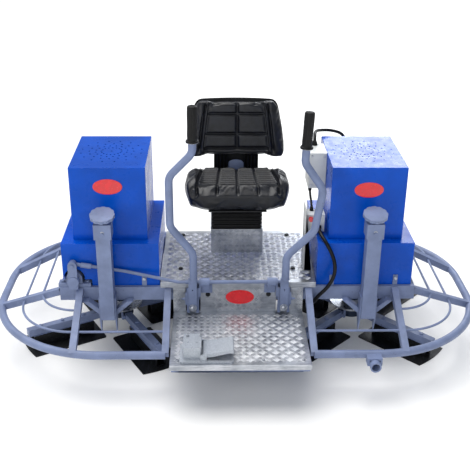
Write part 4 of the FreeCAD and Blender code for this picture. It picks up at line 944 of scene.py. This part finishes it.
def back_boot():
    """Pleated boot between cushion and backrest, with its steel stem and arched plate."""
    low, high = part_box("back_bracket")
    pad_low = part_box("backrest")[0].z
    bm = bmesh.new()
    front = low.y + 0.006
    for start, end in ((low.x + 0.002, -0.040), (0.040, high.x - 0.002)):
        pleats(bm, start, end, low.z + 0.036, pad_low + 0.012, front)
    soften(bm, 0.0016)
    add_piece("back_boot_pleats", bm, body_of("back_bracket"), "rubber",
              replaces=("back_bracket",))
    bm = bmesh.new()
    half, rise, steps = 0.036, 0.018, 24
    turns = [math.pi * step / steps for step in range(steps + 1)]
    outline = [(half * math.cos(turn), pad_low - 0.036 + rise * math.sin(turn))
               for turn in turns]
    outline += [(-half, low.z + 0.034), (half, low.z + 0.034)]
    bm.faces.new([bm.verts.new((x, front + 0.022, z)) for x, z in outline])
    lift(bm, bm.faces[:], (0, -0.006, 0))
    soften(bm, 0.0012)
    add_piece("back_boot_plate", bm, body_of("back_bracket"), "frame_paint")
    bm = bmesh.new()
    hinge = Vector((0, high.y - 0.014, low.z + 0.014))
    reach = Vector((0.052, 0, 0))
    add_rod(bm, hinge - reach, hinge + reach, 0.0138, 32)
    add_box(bm, (-0.050, hinge.y - 0.020, hinge.z + 0.004),
            (0.050, hinge.y + 0.006, hinge.z + 0.020))
    add_box(bm, (-0.050, hinge.y - 0.020, hinge.z + 0.012),
            (0.050, hinge.y - 0.012, pad_low + 0.020))
    soften(bm, 0.0015, shortest=0.01)
    add_piece("back_stem", bm, body_of("back_bracket"), "black_steel")


def suspension_boot():
    """Suspension: stacked bellows over the pedestal with the slide rails on top."""
    low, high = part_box("suspension")
    half = (high.x - low.x) / 2
    body_top = high.z - 0.014
    y0, y1 = low.y + 0.006, high.y - 0.040
    bm = bmesh.new()
    folds = 5
    for index in range(folds):
        z0 = low.z + (body_top - low.z) * index / folds
        z1 = low.z + (body_top - low.z) * (index + 1) / folds
        add_box(bm, (-half + 0.006, y0 + 0.004, z0), (half - 0.006, y1 - 0.004, z1))
        add_box(bm, (-half, y0, z0 + 0.005), (half, y1, z1 - 0.005))
    soften(bm, 0.004, 3, shortest=0.008)
    add_piece("suspension_bellows", bm, "frame", "rubber", replaces=("suspension",))
    bm = bmesh.new()
    for x in (-0.092, 0.092):
        add_box(bm, (x - 0.014, low.y, body_top), (x + 0.014, high.y, body_top + 0.006))
        add_box(bm, (x - 0.005, low.y, body_top + 0.004), (x + 0.005, high.y, high.z))
    soften(bm, 0.0008, 1)
    add_piece("slide_rails", bm, "frame", "steel")


class TROWEL_OT_seat(bpy.types.Operator):
    """Seat: cushion, backrest, shell, boot, suspension and rails"""
    bl_idname = "trowel.seat"
    bl_label = "Seat"

    def execute(self, context):
        """Make the padding by cloth simulation and the rest by modelling."""
        seat_cushion()
        back_pad()
        back_shell()
        back_boot()
        suspension_boot()
        return {"FINISHED"}


# ---- grips ----
def spine(node):
    """Middle of a tall CAD node's lower and upper end."""
    points = points_of(NODES[node].data)
    ends = []
    for edge in (points[:, 2].min(), points[:, 2].max()):
        near = points[np.abs(points[:, 2] - edge) < 0.012]
        centre = (near.min(axis=0) + near.max(axis=0)) / 2
        ends.append(Vector((centre[0], centre[1], edge)))
    return ends


def fluted_grip(side):
    """Fluted rubber sleeve with a flange at its foot and a domed end."""
    foot, top = spine(side + "_grip")
    axis = (top - foot).normalized()
    place = facing(foot, axis)
    tall = (top - foot).length
    stations = ((0.000, 0.0255), (0.004, 0.0262), (0.008, 0.0250), (0.010, 0.0206),
                (0.018, 0.0200), (0.030, 0.0207), (0.070, 0.0200), (0.110, 0.0207),
                (tall - 0.008, 0.0204), (tall - 0.003, 0.0185), (tall - 0.0004, 0.0120))
    bm = bmesh.new()
    segments = 48
    rings = []
    for height, radius in stations:
        made = bmesh.ops.create_circle(bm, segments=segments, radius=radius,
                                       matrix=place @ Matrix.Translation((0, 0, height)))
        rings.append(made["verts"])
    for ring in rings[4:9]:
        centre = sum((v.co for v in ring), Vector()) / segments
        for index, vert in enumerate(ring):
            if index % 4 == 0:
                vert.co = centre + (vert.co - centre) * 0.93
    for lower, upper in zip(rings, rings[1:]):
        for index in range(segments):
            after = (index + 1) % segments
            bm.faces.new((lower[index], lower[after], upper[after], upper[index]))
    bm.faces.new(rings[-1])
    bm.faces.new(rings[0][::-1])
    bmesh.ops.recalc_face_normals(bm, faces=bm.faces)
    add_piece(side + "_grip_sleeve", bm, body_of(side + "_grip"), "rubber",
              replaces=(side + "_grip",))
    bm = bmesh.new()
    add_rod(bm, foot + axis * 0.0004, foot + axis * 0.0022, 0.0259, 48)
    soften(bm, 0.0005, 1)
    add_piece(side + "_grip_ring", bm, body_of(side + "_grip"), "steel")


class TROWEL_OT_grips(bpy.types.Operator):
    """Rubber grips of the two levers"""
    bl_idname = "trowel.grips"
    bl_label = "Grips"

    def execute(self, context):
        """Model a sleeve on each lever."""
        for side in SIDES:
            fluted_grip(side)
        return {"FINISHED"}


# ---- leads and conduit ----
# Routes are in millimetres from the CAD source's origin, which lies this far behind the frame's.
ORIGIN_Y = 0.051075
MOTOR_LEAD = ((340, 80, 850), (340, 80, 880), (348, 150, 888), (372, 222, 872), (438, 254, 862),
              (498, 266, 838), (505, 262, 778), (505, 202, 778))
SWITCH_LEAD = ((318, -10, 690), (318, -10, 664), (318, -106, 644), (318, -106, 617))
CONDUIT = ((345, -150, 558), (345, -206, 558), (372, -264, 532), (402, -292, 474),
           (408, -302, 412), (384, -304, 354), (344, -294, 302), (322, -262, 252),
           (336, -212, 222), (364, -162, 226), (380, -140, 276), (380, -140, 329))


def in_place(point):
    """A route's point in the machine's frame, in metres."""
    x, y, z = point
    return Vector((x / 1000, y / 1000 + ORIGIN_Y, z / 1000))


def lead(name, route, radius, finish, replaces=()):
    """Smooth flexible lead through a route, held at both ends by what it enters."""
    data = bpy.data.curves.new(name, "CURVE")
    data.dimensions = "3D"
    spline = data.splines.new("NURBS")
    spline.points.add(len(route) - 1)
    for control, point in zip(spline.points, route):
        control.co = (*in_place(point), 1.0)
    spline.order_u = 3
    spline.use_endpoint_u = True
    spline.resolution_u = 16
    obj = put(name, data)
    bare = baked(obj)
    track = points_of(bare)
    bpy.data.meshes.remove(bare)
    data.bevel_depth = radius
    data.bevel_resolution = 6
    data.use_fill_caps = True
    data.materials.append(FINISHES[finish])
    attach(obj, "frame")
    if replaces:
        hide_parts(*replaces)


def gland(bm, at, direction, radius):
    """Cable gland: hexagon, thread and tapered sleeve round a lead's end."""
    axis = Vector(direction)
    add_rod(bm, at, at + axis * 0.006, radius * 1.9, 6)
    add_rod(bm, at + axis * 0.006, at + axis * 0.013, radius * 1.6, 24)
    add_rod(bm, at + axis * 0.013, at + axis * 0.020, radius * 1.5, 24, radius * 1.15)


class TROWEL_OT_leads(bpy.types.Operator):
    """Motor lead, switch lead and conduit with their glands"""
    bl_idname = "trowel.leads"
    bl_label = "Leads"

    def execute(self, context):
        """Run each lead through its route and put a gland on each end."""
        runs = (("conduit_hose", CONDUIT, 0.008, "pvc", ("cables",)),
                ("motor_lead_cable", MOTOR_LEAD, 0.007, "rubber", ()),
                ("switch_lead_cable", SWITCH_LEAD, 0.005, "rubber", ()))
        bm = bmesh.new()
        for name, route, radius, finish, nodes in runs:
            lead(name, route, radius, finish, nodes)
            for end, inner in ((route[0], route[1]), (route[-1], route[-2])):
                at = in_place(end)
                gland(bm, at, (in_place(inner) - at).normalized(), radius)
        soften(bm, 0.0004, 1)
        add_piece("lead_glands", bm, "frame", "rubber")
        return {"FINISHED"}


# ---- stage ----
def area_light(name, at, target, size, power, code):
    """Soft rectangular studio light aimed at a point."""
    data = bpy.data.lights.new(name, "AREA")
    data.shape = "RECTANGLE"
    data.size, data.size_y = size
    data.energy = power
    data.color = linear(code)[:3]
    obj = put(name, data)
    obj.location = at
    obj.rotation_euler = (Vector(target) - Vector(at)).to_track_quat("-Z", "Y").to_euler()


def studio_camera():
    """Camera where a person stands in front of the machine."""
    sizes = settings("stage")
    data = bpy.data.cameras.new("studio_camera")
    data.lens = sizes.lens
    obj = put("studio_camera", data)
    obj.location = sizes.eye
    turn = (Matrix.Rotation(-sizes.heading, 4, "Z")
            @ Matrix.Rotation(math.pi / 2 - sizes.tilt, 4, "X")
            @ Matrix.Rotation(sizes.roll, 4, "Z"))
    obj.rotation_euler = turn.to_euler()
    bpy.context.scene.camera = obj


def studio_floor():
    """Pale matt floor."""
    bm = bmesh.new()
    bmesh.ops.create_grid(bm, x_segments=1, y_segments=1, size=150.0,
                          matrix=Matrix.Translation((0, 0, -0.0005)))
    mesh = bpy.data.meshes.new("studio_floor")
    bm.to_mesh(mesh)
    bm.free()
    floor = put("studio_floor", mesh)
    material, tree, shader, place = finish_of("studio_paper", linear("#F4F4F3"), 0.9)
    shaded(tree, shader, patches(tree, place, 900.0), linear("#F1F1F0"), linear("#F7F7F6"))
    mesh.materials.append(material)


class TROWEL_OT_stage(bpy.types.Operator):
    """Camera, floor, sky and soft lights"""
    bl_idname = "trowel.stage"
    bl_label = "Stage"

    def execute(self, context):
        """Set up the studio."""
        studio_camera()
        studio_floor()
        world = bpy.data.worlds.new("studio_sky")
        world.use_nodes = True
        background = world.node_tree.nodes["Background"]
        background.inputs["Color"].default_value = linear("#EAF0FA")
        background.inputs["Strength"].default_value = 0.42
        context.scene.world = world
        context.scene.view_settings.view_transform = "Standard"
        data = bpy.data.lights.new("overcast_sun", "SUN")
        data.energy = 3.0
        data.angle = math.radians(55)
        data.color = linear("#FFFDFA")[:3]
        put("overcast_sun", data).rotation_euler = (math.radians(-16), math.radians(-14), 0)
        area_light("front_softbox", (-2.6, -3.4, 2.6), (0, 0, 0.5), (2.2, 1.8), 38, "#FFFAF2")
        area_light("front_card", (0, -6.5, 3.4), (0, -0.2, 0.3), (7.0, 3.5), 85, "#F6F9FF")
        area_light("back_panel", (1.45, 4.2, 2.35), (0.55, 0, 0.8), (1.7, 1.3), 54, "#F8FBFF")
        return {"FINISHED"}


# ---- add-on ----
STEPS = (TROWEL_OT_finishes, TROWEL_OT_frame, TROWEL_OT_hoods, TROWEL_OT_rotors,
         TROWEL_OT_tread, TROWEL_OT_badges, TROWEL_OT_fasteners, TROWEL_OT_seat,
         TROWEL_OT_grips, TROWEL_OT_leads, TROWEL_OT_stage)


class TROWEL_PT_panel(bpy.types.Panel):
    """Lists the trowel's pieces and their sizes"""
    bl_idname = "TROWEL_PT_panel"
    bl_label = "Power trowel"
    bl_space_type = "VIEW_3D"
    bl_region_type = "UI"
    bl_category = "Trowel"

    def draw(self, context):
        """One button for each piece, then the sizes."""
        for step in STEPS:
            self.layout.operator(step.bl_idname)
        for name, group in GROUPS.items():
            column = self.layout.box().column(heading=group.__doc__)
            for field in group.__annotations__:
                column.prop(getattr(context.scene, name), field)


CLASSES = (*GROUPS.values(), *STEPS, TROWEL_PT_panel)


def register():
    """Add the classes and the scene's property groups."""
    for made in CLASSES:
        bpy.utils.register_class(made)
    for name, group in GROUPS.items():
        setattr(bpy.types.Scene, name, PointerProperty(type=group))


def unregister():
    """Take them away again."""
    for name in GROUPS:
        delattr(bpy.types.Scene, name)
    for made in reversed(CLASSES):
        bpy.utils.unregister_class(made)


def main():
    """Build everything in order and write both boxes."""
    register()
    for step in STEPS:
        family, action = step.bl_idname.split(".")
        getattr(getattr(bpy.ops, family), action)()


if __name__ == "__main__":
    main()
